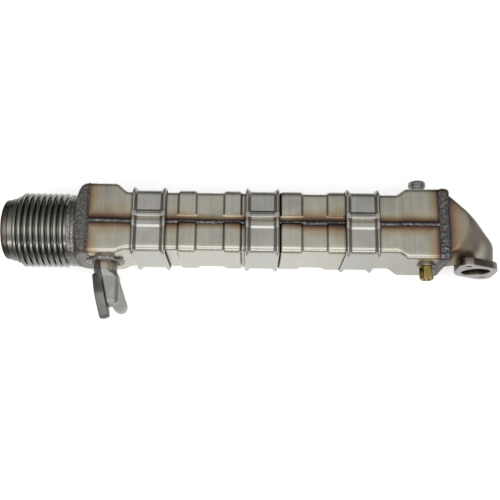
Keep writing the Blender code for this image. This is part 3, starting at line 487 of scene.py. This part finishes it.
# BELLOWS
# Thin drawn stainless, hydroformed into eight deep rings with narrow roots and a low first one, with
# a plain cuff at each end. It takes up heat movement between the engine and the cooler.
bellows_low, bellows_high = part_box("bellows")
gas_y = (bellows_low[1] + bellows_high[1]) / 2 - origin.y
bellows_start = bellows_low[0] - origin.x
bellows_end = bellows_high[0] - origin.x
bellows_root = 0.0500
bellows_crest = (bellows_high[2] - bellows_low[2]) / 2 + 0.0003
bellows_low_crest = 0.0537
bellows_pitch = 0.0092
bellows_rings = 8
bellows_cuff = 0.006
bellows_wall = 0.0008
crest_round = 0.0035


def turned(name, profile, sharp=40, steps=128, spot=None):
    """Turn a closed profile of (place, radius) pairs about the gas inlet's axis, or about an axis
    along Y through a spot given as (x, z)."""
    rows = []
    for i in range(steps):
        angle = 2 * math.pi * (i + 0.5) / steps
        c, s = math.cos(angle), math.sin(angle)
        if spot:
            rows.append([(spot[0] + r * c, y, spot[1] + r * s) for y, r in profile])
        else:
            rows.append([(x, gas_y + r * c, r * s) for x, r in profile])
    return skin_object(name, rows, wrap_rows=True, wrap_points=True, sharp=sharp)


def ring_skin(crest, inset):
    """One skin of a ring about X = 0: narrow root, straight flank and a half round crest."""
    width = crest_round - inset
    foot = bellows_root - inset
    top = crest - inset
    bend = min(width, top - foot - 0.0002)
    rise = [(-bellows_pitch / 2, foot), (-width - 0.0005, foot), (-width, foot + 0.0002)]
    crown = [(-width * math.cos(math.radians(9 * i)), top - bend + bend * math.sin(math.radians(9 * i)))
             for i in range(21)]
    return rise + crown + [(-x, r) for x, r in reversed(rise)]


def ring_pattern(crest):
    """A whole ring with both skins, about X = 0."""
    return turned("ring_pattern", ring_skin(crest, 0.0) + ring_skin(crest, bellows_wall)[::-1], 60, 144)


bellows_metal = grained_metal("bellows_sheet", (0.235, 0.235, 0.210), 0.20, (20.0, 30.0, 30.0), 0.10)[0]
ring_points = [(bellows_end - bellows_cuff - (i + 0.5) * bellows_pitch, 0.0, 0.0)
               for i in range(bellows_rings)]
low_ring = (ring_points[-1][0] - bellows_pitch, 0.0, 0.0)
dress(copies("bellows_rings", ring_pattern(bellows_crest), ring_points, bellows_metal),
      bellows_metal, "bellows_steel", "bellows")
dress(copies("bellows_low_ring", ring_pattern(bellows_low_crest), [low_ring], bellows_metal),
      bellows_metal, "bellows_steel")
for cuff_name, cuff_start in (("bellows_mouth_cuff", bellows_start),
                              ("bellows_collar_cuff", bellows_end - bellows_cuff)):
    cuff_end = cuff_start + bellows_cuff
    cuff = [(cuff_start, bellows_root), (cuff_end, bellows_root), (cuff_end, bellows_root - bellows_wall),
            (cuff_start, bellows_root - bellows_wall)]
    dress(turned(cuff_name, cuff), bellows_metal, "bellows_steel")

# MOUTH RING
# Polished ring welded into the bellows' free end, with a soft golden heat tint behind its nose.
mouth_low, mouth_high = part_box("mouth_ring")
nose = mouth_low[0] - origin.x
mouth_radius = 0.048
mouth_bore = 0.0452
sleeve = 0.0489
mouth_metal, tree, shader, place, colour = grained_metal(
    "polished_ring", (0.10, 0.095, 0.08), 0.12, (20.0, 60.0, 60.0), 0.12)
nose_gap = calc(tree, "SUBTRACT", 0.0105, away_from(tree, place, 0, mouth_low[0]))
add_tint(tree, shader, place, colour, calc(tree, "ABSOLUTE", nose_gap), 0.006, 0.6)
mouth_profile = [(nose + step, mouth_radius - drop) for step, drop in (
    (0.0, 0.0042), (0.0005, 0.0024), (0.0014, 0.0011), (0.0028, 0.0003), (0.0044, 0.0))]
mouth_profile += [
    (bellows_start - 0.0020, mouth_radius), (bellows_start - 0.0010, mouth_radius + 0.0003),
    (bellows_start - 0.0002, sleeve), (bellows_start + bellows_cuff, sleeve),
    (bellows_start + bellows_cuff, sleeve - 0.0028), (bellows_start, mouth_bore),
    (nose + 0.002, mouth_bore), (nose + 0.0004, mouth_bore - 0.0006)]
dress(turned("gas_mouth_ring", mouth_profile, 35), mouth_metal, "machined_steel", "mouth_ring")

# NECK COLLAR AND INLET TRANSITION
# The collar carries the bellows; the transition swells from round to the casing's rectangle. Both
# are thick, scaled dark by the furnace and the welds.
collar_low, collar_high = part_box("neck_collar")
collar_start = collar_low[0] - origin.x
collar_end = collar_high[0] - origin.x
collar_radius = 0.0572
collar_wall = 0.003


def scaled_metal(name, colour, roughness, lump):
    """Steel darkened by heat: mottled scale with a coarse skin."""
    made, tree, shader, place = new_material(name, roughness, 0.85)
    mottle = noise_field(tree, place, 240.0, 5.0, 0.75)
    patch = noise_field(tree, place, 34.0, 3.0)
    dark = tuple(0.30 * c for c in colour)
    light = tuple(min(1.0, 2.3 * c) for c in colour)
    speck = colour_ramp(tree, mottle, [(0.36, dark), (0.50, colour), (0.66, light)])
    blue = (colour[0] * 0.85, colour[1] * 0.86, colour[2] * 1.05)
    brown = (colour[0] * 1.2, colour[1] * 1.02, colour[2] * 0.85)
    cast = colour_ramp(tree, patch, [(0.35, blue), (0.65, brown)])
    wire(tree, shader, {"Base Color": mix_colour(tree, 0.22, speck, cast),
                        "Roughness": calc(tree, "MULTIPLY_ADD", mottle, 0.35, roughness - 0.17),
                        "Normal": bumped(tree, mottle, 0.7, lump)})
    return made


collar_metal = scaled_metal("heat_dulled_collar", (0.20, 0.195, 0.185), 0.30, 0.0003)
scale_metal = scaled_metal("dark_scale", (0.125, 0.12, 0.105), 0.34, 0.0016)
bore = bellows_root + fit_gap
collar_profile = [
    (collar_start + 0.0015, collar_radius), (collar_start + 0.006, collar_radius),
    (collar_start + 0.0068, collar_radius - 0.0006), (collar_start + 0.0076, collar_radius),
    (collar_end, collar_radius), (collar_end, collar_radius - collar_wall),
    (collar_start + collar_wall, collar_radius - collar_wall), (collar_start + collar_wall, bore),
    (collar_start, bore), (collar_start, collar_radius - 0.0015),
    (collar_start + 0.0005, collar_radius - 0.0004)]
dress(turned("bellows_collar", collar_profile, 35), collar_metal, "scaled_steel", "neck_collar")


def box_ring(low, high, half, corner, steps):
    """Closed outline with rounded corners, as (across, up) pairs, spaced so a full circle is regular."""
    ring = []
    for across, up, turn in ((high - corner, half - corner, 0), (low + corner, half - corner, 90),
                             (low + corner, corner - half, 180), (high - corner, corner - half, 270)):
        for i in range(steps):
            angle = math.radians(turn + 90 * (i + 0.5) / steps)
            ring.append((across + corner * math.cos(angle), up + corner * math.sin(angle)))
    return ring


cone_low, cone_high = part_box("inlet_cone")
cone_start = cone_low[0] - origin.x
cone_length = cone_high[0] - cone_low[0]
rear_side, front_side, header_half, _ = casing_size(-casing_left)
cone_skins = []
for inset in (0.0, collar_wall):
    round_end = box_ring(gas_y - collar_radius + inset, gas_y + collar_radius - inset, collar_radius - inset,
                         collar_radius - inset, 24)
    square_end = box_ring(inset - front_side, rear_side - inset, header_half - inset, casing_corner, 24)
    skin = []
    for i in range(19):
        turn = math.radians(5 * i)
        mix = math.sin(turn) ** 0.9
        x = cone_start + cone_length * (1 - math.cos(turn))
        skin.append([(x, a + (c - a) * mix, b + (d - b) * mix)
                     for (a, b), (c, d) in zip(round_end, square_end)])
    cone_skins.append(skin)
dress(skin_object("inlet_transition", both_skins(*cone_skins), wrap_rows=True, wrap_points=True, sharp=50),
      scale_metal, "scaled_steel", "inlet_cone")

# OUTLET HOOD
# Pressed hood that turns the gas from the tubes down to the flange: a flat-sided mitre whose outer
# wall slants across. Straw and brown tint spreads from the end weld.
hood_low, hood_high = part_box("outlet_hood")
flange_low, flange_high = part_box("outlet_flange")
outlet_x = (flange_low[0] + flange_high[0]) / 2 - origin.x
outlet_z = (flange_low[2] + flange_high[2]) / 2 - origin.z
flange_face = flange_low[1] - origin.y
flange_back = flange_high[1] - origin.y
hood_start = hood_low[0] - origin.x
hood_back = flange_back + fit_gap
hood_end_radius = 0.0275
hood_wall = 0.0025
hood_slant = (0.0757, 43.4)      # reach from the inner corner to the slant, and the turn it faces
hood_edge = 24                   # how tightly the top, the slant and the side meet
hood_crease = 0.335              # past this X both seam faces fall away
hood_fall = 0.32                 # share of its height that a seam face loses by the far side
header_square = 10               # how square the hood's section is at the header and at the flange
flange_square = 2
rear_side, front_side, header_half, _ = casing_size(casing_right)


def hood_reach(turn):
    """Distance from the hood's inner corner to its outer wall at a turn from +Y: the top, the slant
    and the side, rounded into each other."""
    walls = ((rear_side - hood_back - 0.001, 0.0), hood_slant,
             (outlet_x + hood_end_radius - hood_start, 90.0))
    shares = [max(0.0, math.cos(math.radians(turn - normal))) / reach for reach, normal in walls]
    return sum(share ** hood_edge for share in shares) ** (-1 / hood_edge)


def hood_ring(turn, inset, count=96):
    """Section of the hood after a turn of 0 to 90 degrees about its inner corner: the header's
    rectangle, which narrows to the flange's circle past a crease in both seam faces."""
    t = turn / 90
    side = outlet_x + hood_end_radius
    near = (side - 2 * hood_end_radius - hood_start) * t * t + inset
    far = hood_reach(turn) - inset
    squareness = header_square + (flange_square - header_square) * ease(t, 0.24, 1.0)
    lean = math.radians(90 - turn)
    ring = []
    for i in range(count):
        angle = 2 * math.pi * (i + 0.5) / count
        c, s = math.cos(angle), math.sin(angle)
        along = (far + near) / 2 + (far - near) / 2 * math.copysign(abs(c) ** (2 / squareness), c)
        x = hood_start + along * math.cos(lean)
        fall = max(0.0, (x - hood_crease) / (side - hood_crease))
        outward = ease(x, hood_start, outlet_x)
        narrow = ease(t, 0.33, 1.0) * (outward + (1 - outward) * ease(t, 0.75, 1.0))
        half = header_half - 0.001 + (hood_end_radius - header_half + 0.001) * narrow - inset
        half *= 1 - hood_fall * fall * (1 - ease(t, 0.55, 1.0))
        up = half * math.copysign(abs(s) ** (2 / squareness), s)
        ring.append((x, hood_back + along * math.sin(lean), up + outlet_z * ease(t, 0.0, 1.0)))
    return ring


hood_turns = [1.25 * i for i in range(73)]
hood_rows = both_skins(*([hood_ring(turn, inset) for turn in hood_turns] for inset in (0.0, hood_wall)))
hood_metal, tree, shader, place, colour = grained_metal(
    "hood_sheet", (0.335, 0.305, 0.255), 0.46, (180.0, 14.0, 14.0), 0.26)
hood_gap = calc(tree, "MAXIMUM", calc(tree, "SUBTRACT", away_from(tree, place, 0, hood_low[0]), 0.001), 0.0)
add_tint(tree, shader, place, colour, hood_gap, 0.042, 0.90)
dress(skin_object("gas_outlet_hood", hood_rows, wrap_rows=True, wrap_points=True, sharp=45),
      hood_metal, "casing_steel", "outlet_hood")

# OUTLET FLANGE
# Forged two-bolt flange, its joint face milled flat and bright and its edge left brown-grey.
bolt_reach = 0.0395
bolt_turn = math.radians(60.7)
bolt_bore = 0.0046
gas_bore = 0.0225
middle_radius = 0.0335
ear_radius = 0.0145
flange_bevel = 0.0007


def hull(circles):
    """Convex outline round circles given as (centre, radius), as (across, up) pairs."""
    points = []
    for (across, up), radius in circles:
        for i in range(96):
            angle = math.radians(3.75 * i)
            points.append((across + radius * math.cos(angle), up + radius * math.sin(angle)))
    points.sort()
    ring = []
    for sweep in (points, points[::-1]):
        chain = []
        for p in sweep:
            while len(chain) > 1:
                (ax, ay), (bx, by) = chain[-2], chain[-1]
                if (bx - ax) * (p[1] - ay) - (by - ay) * (p[0] - ax) > 1e-12:
                    break
                chain.pop()
            chain.append(p)
        ring += chain[:-1]
    return ring


def disc(radius, centre, steps):
    """Closed circle with a number of steps to a quarter, as (across, up) pairs."""
    return [(centre[0] + radius * math.cos(math.pi * i / (2 * steps)),
             centre[1] + radius * math.sin(math.pi * i / (2 * steps))) for i in range(4 * steps)]


outlet = (outlet_x, outlet_z)
bolts = [(outlet_x + s * bolt_reach * math.cos(bolt_turn), outlet_z - s * bolt_reach * math.sin(bolt_turn))
         for s in (1, -1)]
loops = [hull([(outlet, middle_radius)] + [(bolt, ear_radius) for bolt in bolts]), disc(gas_bore, outlet, 24)]
loops += [disc(bolt_bore, bolt, 16) for bolt in bolts]
bm = bmesh.new()
edges = []
for loop in loops:
    row = [bm.verts.new(Vector((across, flange_face, up)) + origin) for across, up in loop]
    edges += [bm.edges.new((row[i - 1], row[i])) for i in range(len(row))]
bmesh.ops.triangle_fill(bm, edges=edges, use_beauty=True)
bmesh.ops.dissolve_limit(bm, angle_limit=0.01, verts=[], edges=list(bm.edges))
grown = bmesh.ops.extrude_face_region(bm, geom=list(bm.faces))
raised = [v for v in grown["geom"] if isinstance(v, bmesh.types.BMVert)]
bmesh.ops.translate(bm, vec=Vector((0.0, flange_back - flange_face, 0.0)), verts=raised)
bmesh.ops.recalc_face_normals(bm, faces=bm.faces)
rims = [e for e in bm.edges if len(e.link_faces) == 2 and e.calc_face_angle() > math.radians(60)]
bmesh.ops.bevel(bm, geom=rims, offset=flange_bevel, segments=3, profile=0.5, affect="EDGES")
flange_metal, tree, shader, place, colour = grained_metal(
    "milled_flange", (0.47, 0.445, 0.41), 0.28, (260.0, 60.0, 60.0), 0.15)
edge_gap = calc(tree, "SUBTRACT", away_from(tree, place, 1, flange_low[1]), 0.0006)
side_dark = calc(tree, "MULTIPLY", edge_gap, 2600.0, clamp=True)
wire(tree, shader, {"Base Color": mix_colour(tree, side_dark, colour, (0.23, 0.20, 0.165))})
dress(meshed("gas_outlet_flange", bm, 30), flange_metal, "machined_steel", "outlet_flange")

# COOLANT INLET
# Sand-cast steel elbow on a raised ring of the inlet header, with a thick oval flange and an ear.
port_low, port_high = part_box("inlet_port_ring")
port_x = (port_low[0] + port_high[0]) / 2 - origin.x
port_z = (port_low[2] + port_high[2]) / 2 - origin.z
port_face = port_high[1] - origin.y

cast_metal, tree, shader, place = new_material("cast_skin", 0.42, 0.75)
pebble = noise_field(tree, place, 420.0, 5.0, 0.65)
stain = noise_field(tree, place, 40.0, 3.0)
skin = colour_ramp(tree, pebble, [(0.3, (0.26, 0.26, 0.240)), (0.7, (0.42, 0.42, 0.390))])
tone = colour_ramp(tree, stain, [(0.35, (0.28, 0.275, 0.250)), (0.65, (0.40, 0.40, 0.375))])
root_gap = calc(tree, "ABSOLUTE", calc(tree, "SUBTRACT", away_from(tree, place, 1, port_high[1]), 0.002))
colour = add_tint(tree, shader, place, mix_colour(tree, 0.5, skin, tone), root_gap, 0.018, 0.8)

# The casting's flange leans 13.3 degrees. Its outer face is painted in shade, darker than the body, and a
# darker line of painted shade runs along its edge where it meets the body.
plate_lean = math.radians(13.3)
plate_face = -0.2550
toward_body = Vector((math.cos(plate_lean), math.sin(plate_lean), 0.0))
across_plate = vector_calc(tree, "DOT_PRODUCT", place, toward_body).outputs["Value"]
past_face = calc(tree, "SUBTRACT", across_plate, plate_face + toward_body.dot(origin))
painted_plate_shade = colour_ramp(tree, calc(tree, "MULTIPLY", past_face, 50.0, clamp=True), [
    (0.0, 0.46), (0.42, 0.50), (0.47, 0.20), (0.53, 0.22), (0.60, 1.0)])
wire(tree, shader, {"Base Color": mix_colour(tree, 1.0, colour, painted_plate_shade, "MULTIPLY"),
                    "Normal": bumped(tree, pebble, 0.55, 0.0006)})

# A finer copy of the solid, with its edges rounded as a casting's are.
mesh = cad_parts["coolant_inlet"].data.copy()
bm = bmesh.new()
bm.from_mesh(mesh)
bmesh.ops.remove_doubles(bm, verts=bm.verts, dist=0.00001)
bm.to_mesh(mesh)
bm.free()
casting = placed("coolant_inlet_casting", mesh)
grid = casting.modifiers.new("grid", "REMESH")
grid.mode = "VOXEL"
grid.voxel_size = 0.0009
relax = casting.modifiers.new("relax", "SMOOTH")
relax.iterations = 3
relax.factor = 0.5
soft = bpy.data.meshes.new_from_object(casting.evaluated_get(bpy.context.evaluated_depsgraph_get()))
casting.modifiers.clear()
casting.data = soft
soft.shade_smooth()
dress(casting, cast_metal, "cast_steel", "coolant_inlet")

ring_metal = scaled_metal("heat_dulled_ring", (0.24, 0.23, 0.205), 0.27, 0.0001)
ring_profile = [(port_face - rise, radius) for rise, radius in (
    (0.0, 0.0304), (0.0018, 0.0302), (0.0024, 0.0292), (0.0018, 0.0281), (0.0006, 0.0276),
    (0.0006, 0.0262), (0.0026, 0.0257), (0.0035, 0.0244), (0.0032, 0.0230), (0.0014, 0.0225),
    (0.0010, 0.0205), (0.0, 0.0205))]
dress(turned("coolant_port_ring", ring_profile, 60, 96, (port_x, port_z)), ring_metal, "strap_steel",
      "inlet_port_ring")

# COOLANT OUTLET NECK
# Short drawn stub on the outlet header's rear side, with a rolled bead that holds a hose.
neck_low, neck_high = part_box("coolant_outlet_neck")
neck_x = (neck_low[0] + neck_high[0]) / 2 - origin.x
neck_base = neck_low[1] - origin.y
neck_end = neck_high[1] - origin.y
neck_radius = 0.0125
neck_metal = grained_metal("neck_sheet", (0.33, 0.33, 0.30), 0.42, (40.0, 40.0, 40.0), 0.12)[0]
neck_profile = [(start + step, neck_radius + rise) for start, step, rise in (
    (neck_base, 0.0, 0.0018), (neck_base, 0.001, 0.0008), (neck_base, 0.003, 0.0),
    (neck_end, -0.0075, 0.0), (neck_end, -0.0075, 0.0009), (neck_end, -0.0070, 0.0013),
    (neck_end, -0.0022, 0.0013), (neck_end, -0.0010, 0.0008), (neck_end, -0.0002, -0.0003),
    (neck_end, 0.0, -0.0012), (neck_end, -0.0004, -0.0018), (neck_base, 0.0, -0.0018))]
dress(turned("coolant_outlet_stub", neck_profile, 35, 96, (neck_x, 0.0)), neck_metal, "strap_steel",
      "coolant_outlet_neck")

# BRASS FITTING
# Hexagon brass fitting screwed into a turned steel bung; its corners are chamfered and its bore is
# threaded.
bung_low, bung_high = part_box("fitting_bung")
brass_low, brass_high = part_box("brass_fitting")
fitting_x = (bung_low[0] + bung_high[0]) / 2 - origin.x
fitting_z = (bung_low[2] + bung_high[2]) / 2 - origin.z
bung_base = bung_high[1] - origin.y
bung_end = bung_low[1] - origin.y
bung_profile = [(bung_base, 0.0135), (bung_end + 0.0012, 0.0135), (bung_end + 0.0004, 0.0131),
                (bung_end, 0.0123), (bung_end, 0.0072), (bung_base, 0.0072)]
dress(turned("fitting_seat", bung_profile, 35, 96, (fitting_x, fitting_z)), flange_metal, "machined_steel",
      "fitting_bung")

brass_top = brass_high[1] - origin.y
brass_end = brass_low[1] - origin.y
hex_flat = (brass_high[2] - brass_low[2]) / 2
thread_root = 0.0061
thread_crest = 0.0056
thread_pitch = 0.0012
hex_steps = 144
rows = []
for i in range(hex_steps):
    angle = 2 * math.pi * i / hex_steps
    off = (math.degrees(angle) % 60) - 30
    corner_radius = hex_flat / math.cos(math.radians(off))
    row = []
    for y, limit in ((brass_top, 0.0098), (brass_top - 0.0006, 0.0104), (brass_top - 0.0022, 0.0113),
                     (brass_end + 0.0026, 0.0113), (brass_end + 0.0013, 0.0106), (brass_end + 0.0005, 0.0098),
                     (brass_end, 0.0088), (brass_end, 0.0067), (brass_end + 0.0007, thread_root)):
        row.append((y, min(corner_radius, limit)))
    for turn in range(12):
        y = brass_end + thread_pitch * (1 + turn + i / hex_steps)
        row += [(y, thread_root), (y + thread_pitch / 2, thread_crest)]
    row += [(brass_top, 0.0060)]
    rows.append([(fitting_x + r * math.cos(angle), y, fitting_z + r * math.sin(angle)) for y, r in row])
brass_metal = grained_metal("hexagon_brass", (0.34, 0.26, 0.095), 0.11, (80.0, 500.0, 80.0), 0.2)[0]
dress(skin_object("vent_fitting", rows, wrap_rows=True, wrap_points=True, sharp=22), brass_metal, "brass",
      "brass_fitting")

# TUBE BUNDLE AND HEADER PLATES
# Eight flat tubes with a corrugated fin in each run through both header plates and two baffles. Only
# their ends show, through the gas inlet and the outlet bore.
tube_metal = grained_metal("tube_sheet", (0.46, 0.44, 0.41), 0.34, (30.0, 300.0, 300.0), 0.3)[0]
bundle = {"inlet_header_plate": tube_metal, "tube_baffle_1": tube_metal, "tube_baffle_2": tube_metal,
          "outlet_header_plate": scale_metal}
for n in range(1, 9):
    bundle[f"gas_tube_{n}"] = bundle[f"tube_fin_{n}"] = tube_metal
for name, metal in bundle.items():
    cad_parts[name].data.materials.clear()
    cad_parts[name].data.materials.append(metal)

# WELD BEADS
# Machine-laid beads: along both seams, round both ends of the casing and at the ports. They are dark
# and blue-grey, with fine overlapping ripples.
bead_metal, tree, shader, place = new_material("weld_bead", 0.30, 0.95)
ripple = noise_field(tree, place, 230.0, 5.0, 0.7)
broad = noise_field(tree, place, 55.0, 2.0)
bead_dark = colour_ramp(tree, ripple, [
    (0.36, (0.018, 0.018, 0.020)), (0.50, (0.090, 0.088, 0.080)), (0.66, (0.42, 0.40, 0.36))])
bead_hue = colour_ramp(tree, broad, [
    (0.32, (0.055, 0.060, 0.105)), (0.45, 0.10), (0.60, (0.12, 0.105, 0.08)), (0.72, (0.085, 0.055, 0.085))])
wire(tree, shader, {"Base Color": mix_colour(tree, 0.5, bead_dark, bead_hue),
                    "Normal": bumped(tree, ripple, 0.8, 0.0006)})


def weld(name, path, width, height, closed=True, lumps=1.0, sink=0.0006):
    """A weld bead along a path of (point, normal) pairs: a low ridge with crescent ripples."""
    rows = []
    count = len(path)
    walked = 0.0
    for i in range(count):
        point, normal = Vector(path[i][0]), Vector(path[i][1]).normalized()
        ahead = Vector(path[(i + 1) % count][0]) if closed or i + 1 < count else point
        behind = Vector(path[i - 1][0]) if closed or i > 0 else point
        along = (ahead - behind).normalized()
        across = along.cross(normal).normalized()
        if i:
            walked += (point - Vector(path[i - 1][0])).length
        wobble = 1 + 0.16 * noise.noise(Vector((walked * 90, 3.1, width * 900)))
        row = []
        for k in range(13):
            t = -1 + k / 6
            phase = walked / 0.0024 + 0.55 * t * t
            scallop = 1 - 0.22 * abs(2 * (phase % 1.0) - 1)
            grit = 0.10 * lumps * noise.noise(Vector((walked * 420, t * 3.0, 7.7)))
            lift = height * (math.sqrt(max(0.0, 1 - t * t)) * (scallop + grit)) - sink
            row.append(point + across * (t * width / 2 * wobble) + normal * lift)
        rows.append(row)
    dress(skin_object(name, rows, wrap_rows=closed, sharp=75), bead_metal, "scaled_steel")


for side, label in ((1, "upper"), (-1, "lower")):
    path = []
    for x in spread(0.0005 - casing_left, casing_right, 0.0006):
        rear, front, top, band = casing_size(x)
        drift = 0.0004 * noise.noise(Vector((x * 40, side * 5.0, 0.0)))
        path.append(((x, drift - sheet, side * (top + 0.35 * band)), (0.0, 0.0, side)))
    weld(f"{label}_seam_weld", path, width=0.0068, height=0.0029, closed=False, sink=0.0012)


def ring_path(ring, x):
    """Path round a closed section at x."""
    path = []
    for i, (a, u) in enumerate(ring):
        before, after = ring[i - 1], ring[(i + 1) % len(ring)]
        path.append(((x, a, u), (0.0, after[1] - before[1], before[0] - after[0])))
    return path


def fine_ring(rear, front, top, step=0.0012):
    """The casing's outline with points added along its long sides."""
    ring = box_ring(-front, rear, top, casing_corner, 12)
    fine = []
    for i in range(len(ring)):
        (a, b), (c, d) = ring[i - 1], ring[i]
        count = max(1, round(math.hypot(c - a, d - b) / step))
        fine += [(a + (c - a) * k / count, b + (d - b) * k / count) for k in range(count)]
    return fine


def round_path(centre, radius, y, lean, steps):
    """Path round a circle about an axis along Y; lean tips its normals along the axis."""
    return [((a, y, u), (a - centre[0], lean * radius, u - centre[1]))
            for a, u in disc(radius, centre, steps)]


weld("inlet_end_weld", ring_path(fine_ring(*casing_size(-casing_left)[:3]), 0.0005 - casing_left),
     width=0.0046, height=0.0016)
weld("outlet_end_weld", ring_path(fine_ring(rear_side, front_side, header_half), casing_right + 0.0062),
     width=0.0175, height=0.0029, lumps=2.0, sink=0.0012)
weld("collar_weld", ring_path(disc(collar_radius, (gas_y, 0.0), 60), collar_end),
     width=0.0042, height=0.0014, lumps=1.2)
weld("outlet_flange_weld", round_path(outlet, hood_end_radius + 0.0008, flange_back + 0.0006, 0.7067, 60),
     width=0.0048, height=0.0022)
weld("coolant_inlet_weld", round_path((port_x, port_z), 0.0196, port_face - 0.0034, -0.8, 45),
     width=0.0040, height=0.0018)
weld("fitting_seat_weld", round_path((fitting_x, fitting_z), 0.0138, bung_base - 0.0003, -0.9, 35),
     width=0.0034, height=0.0014)
weld("outlet_neck_weld", round_path((neck_x, 0.0), 0.0144, neck_base + 0.0004, 0.9, 35),
     width=0.0034, height=0.0014)

# FLOOR, LIGHT AND CAMERA
# A pale floor under a studio sky that is bright round the camera, lower in front and dark to the sides
# and at the horizon. The camera looks down on the seam face, tipped a little towards the front.
floor_mesh = bpy.data.meshes.new("floor")
floor_mesh.from_pydata([(-6, -6, 0), (6, -6, 0), (6, 6, 0), (-6, 6, 0)], [], [(0, 1, 2, 3)])
floor = placed("floor", floor_mesh)
floor_paint, tree, shader, spot = new_material("pale_floor", 1.0, 0.0)
# In reflections the floor is darker and glows brightest close to the cooler's front and along its length,
# fading further out: painted light that stands in for a reflector.
rays = tree.nodes.new("ShaderNodeLightPath").outputs
reach = node_in(tree, "ShaderNodeSeparateXYZ", {0: spot}).outputs
near_side = colour_ramp(tree, calc(tree, "MULTIPLY", reach[1], -1.0), [(0.13, 1.0), (0.36, 0.08)])
along_it = colour_ramp(tree, calc(tree, "ADD", reach[0], 0.6), [
    (0.14, 0.05), (0.24, 1.0), (0.70, 0.90), (0.94, 0.52)])
mirrored = mix_colour(tree, 1.0, near_side, along_it, "MULTIPLY")
glow = calc(tree, "ADD", calc(tree, "MULTIPLY", rays["Is Camera Ray"], 0.50),
            calc(tree, "MULTIPLY", rays["Is Glossy Ray"], mirrored))
wire(tree, shader, {"Base Color": mix_colour(tree, rays["Is Glossy Ray"], 0.80, 0.26),
                    "Specular IOR Level": 0.0, "Emission Color": 1.0, "Emission Strength": glow})
floor_mesh.materials.append(floor_paint)

world = bpy.data.worlds.new("studio")
bpy.context.scene.world = world
world.use_nodes = True
tree = world.node_tree
around = tree.nodes.new("ShaderNodeTexCoord").outputs["Generated"]
split = node_in(tree, "ShaderNodeSeparateXYZ", {0: around}).outputs
sky = colour_ramp(tree, calc(tree, "MULTIPLY_ADD", split[1], -0.5, 0.5), [
    (0.0, 0.08), (0.22, 0.22), (0.36, 0.50), (0.44, 0.76), (0.54, 1.0), (0.70, 1.0), (0.82, 0.50),
    (0.90, 0.62), (0.96, 1.0)])
dimmer = colour_ramp(tree, calc(tree, "ABSOLUTE", split[0]), [
    (0.0, 0.94), (0.10, 0.86), (0.22, 0.68), (0.40, 0.92), (0.58, 1.0), (0.76, 0.40), (0.90, 0.18)])
low_band = colour_ramp(tree, split[2], [(0.0, 0.22), (0.10, 0.30), (0.24, 1.0)])
sky = mix_colour(tree, 1.0, mix_colour(tree, 1.0, sky, dimmer, "MULTIPLY"), low_band, "MULTIPLY")
rays = tree.nodes.new("ShaderNodeLightPath").outputs
wire(tree, tree.nodes["Background"], {"Color": mix_colour(tree, rays["Is Camera Ray"], sky, 1.0),
                                      "Strength": 1.62})


def softbox(name, place, size, power):
    """A rectangular area lamp that faces the cooler."""
    lamp = bpy.data.lights.new(name, "AREA")
    lamp.shape = "RECTANGLE"
    lamp.size, lamp.size_y = size
    lamp.energy = power
    made = placed(name, lamp)
    made.location = place
    made.rotation_euler = (Vector((0.0, 0.0, 0.06)) - Vector(place)).to_track_quat("-Z", "Y").to_euler()


softbox("front_softbox", (0.0, -1.55, 0.85), (2.4, 0.30), 5.5)
softbox("camera_softbox", (0.0, -0.50, 1.80), (1.6, 0.7), 4.0)

tilt = math.radians(15.0)
roll = math.radians(0.75)
camera_distance = 1.35
focal_pixels = 839.0
view_down = Vector((0.0, math.sin(tilt), -math.cos(tilt)))
view_up = Vector((0.0, math.cos(tilt), math.sin(tilt)))
right = Vector((math.cos(roll), 0.0, 0.0)) + math.sin(roll) * view_up
up = math.cos(roll) * view_up - Vector((math.sin(roll), 0.0, 0.0))
aim = origin + view_up * -0.0304 - right * 0.0012
lens = bpy.data.cameras.new("camera")
lens.sensor_width = 36.0
lens.lens = focal_pixels * lens.sensor_width / 500.0
camera = placed("camera", lens)
turn = Matrix((right, up, -view_down)).transposed().to_4x4()
camera.matrix_world = Matrix.Translation(aim - view_down * camera_distance) @ turn
bpy.context.scene.camera = camera
bpy.context.scene.view_settings.view_transform = "Standard"
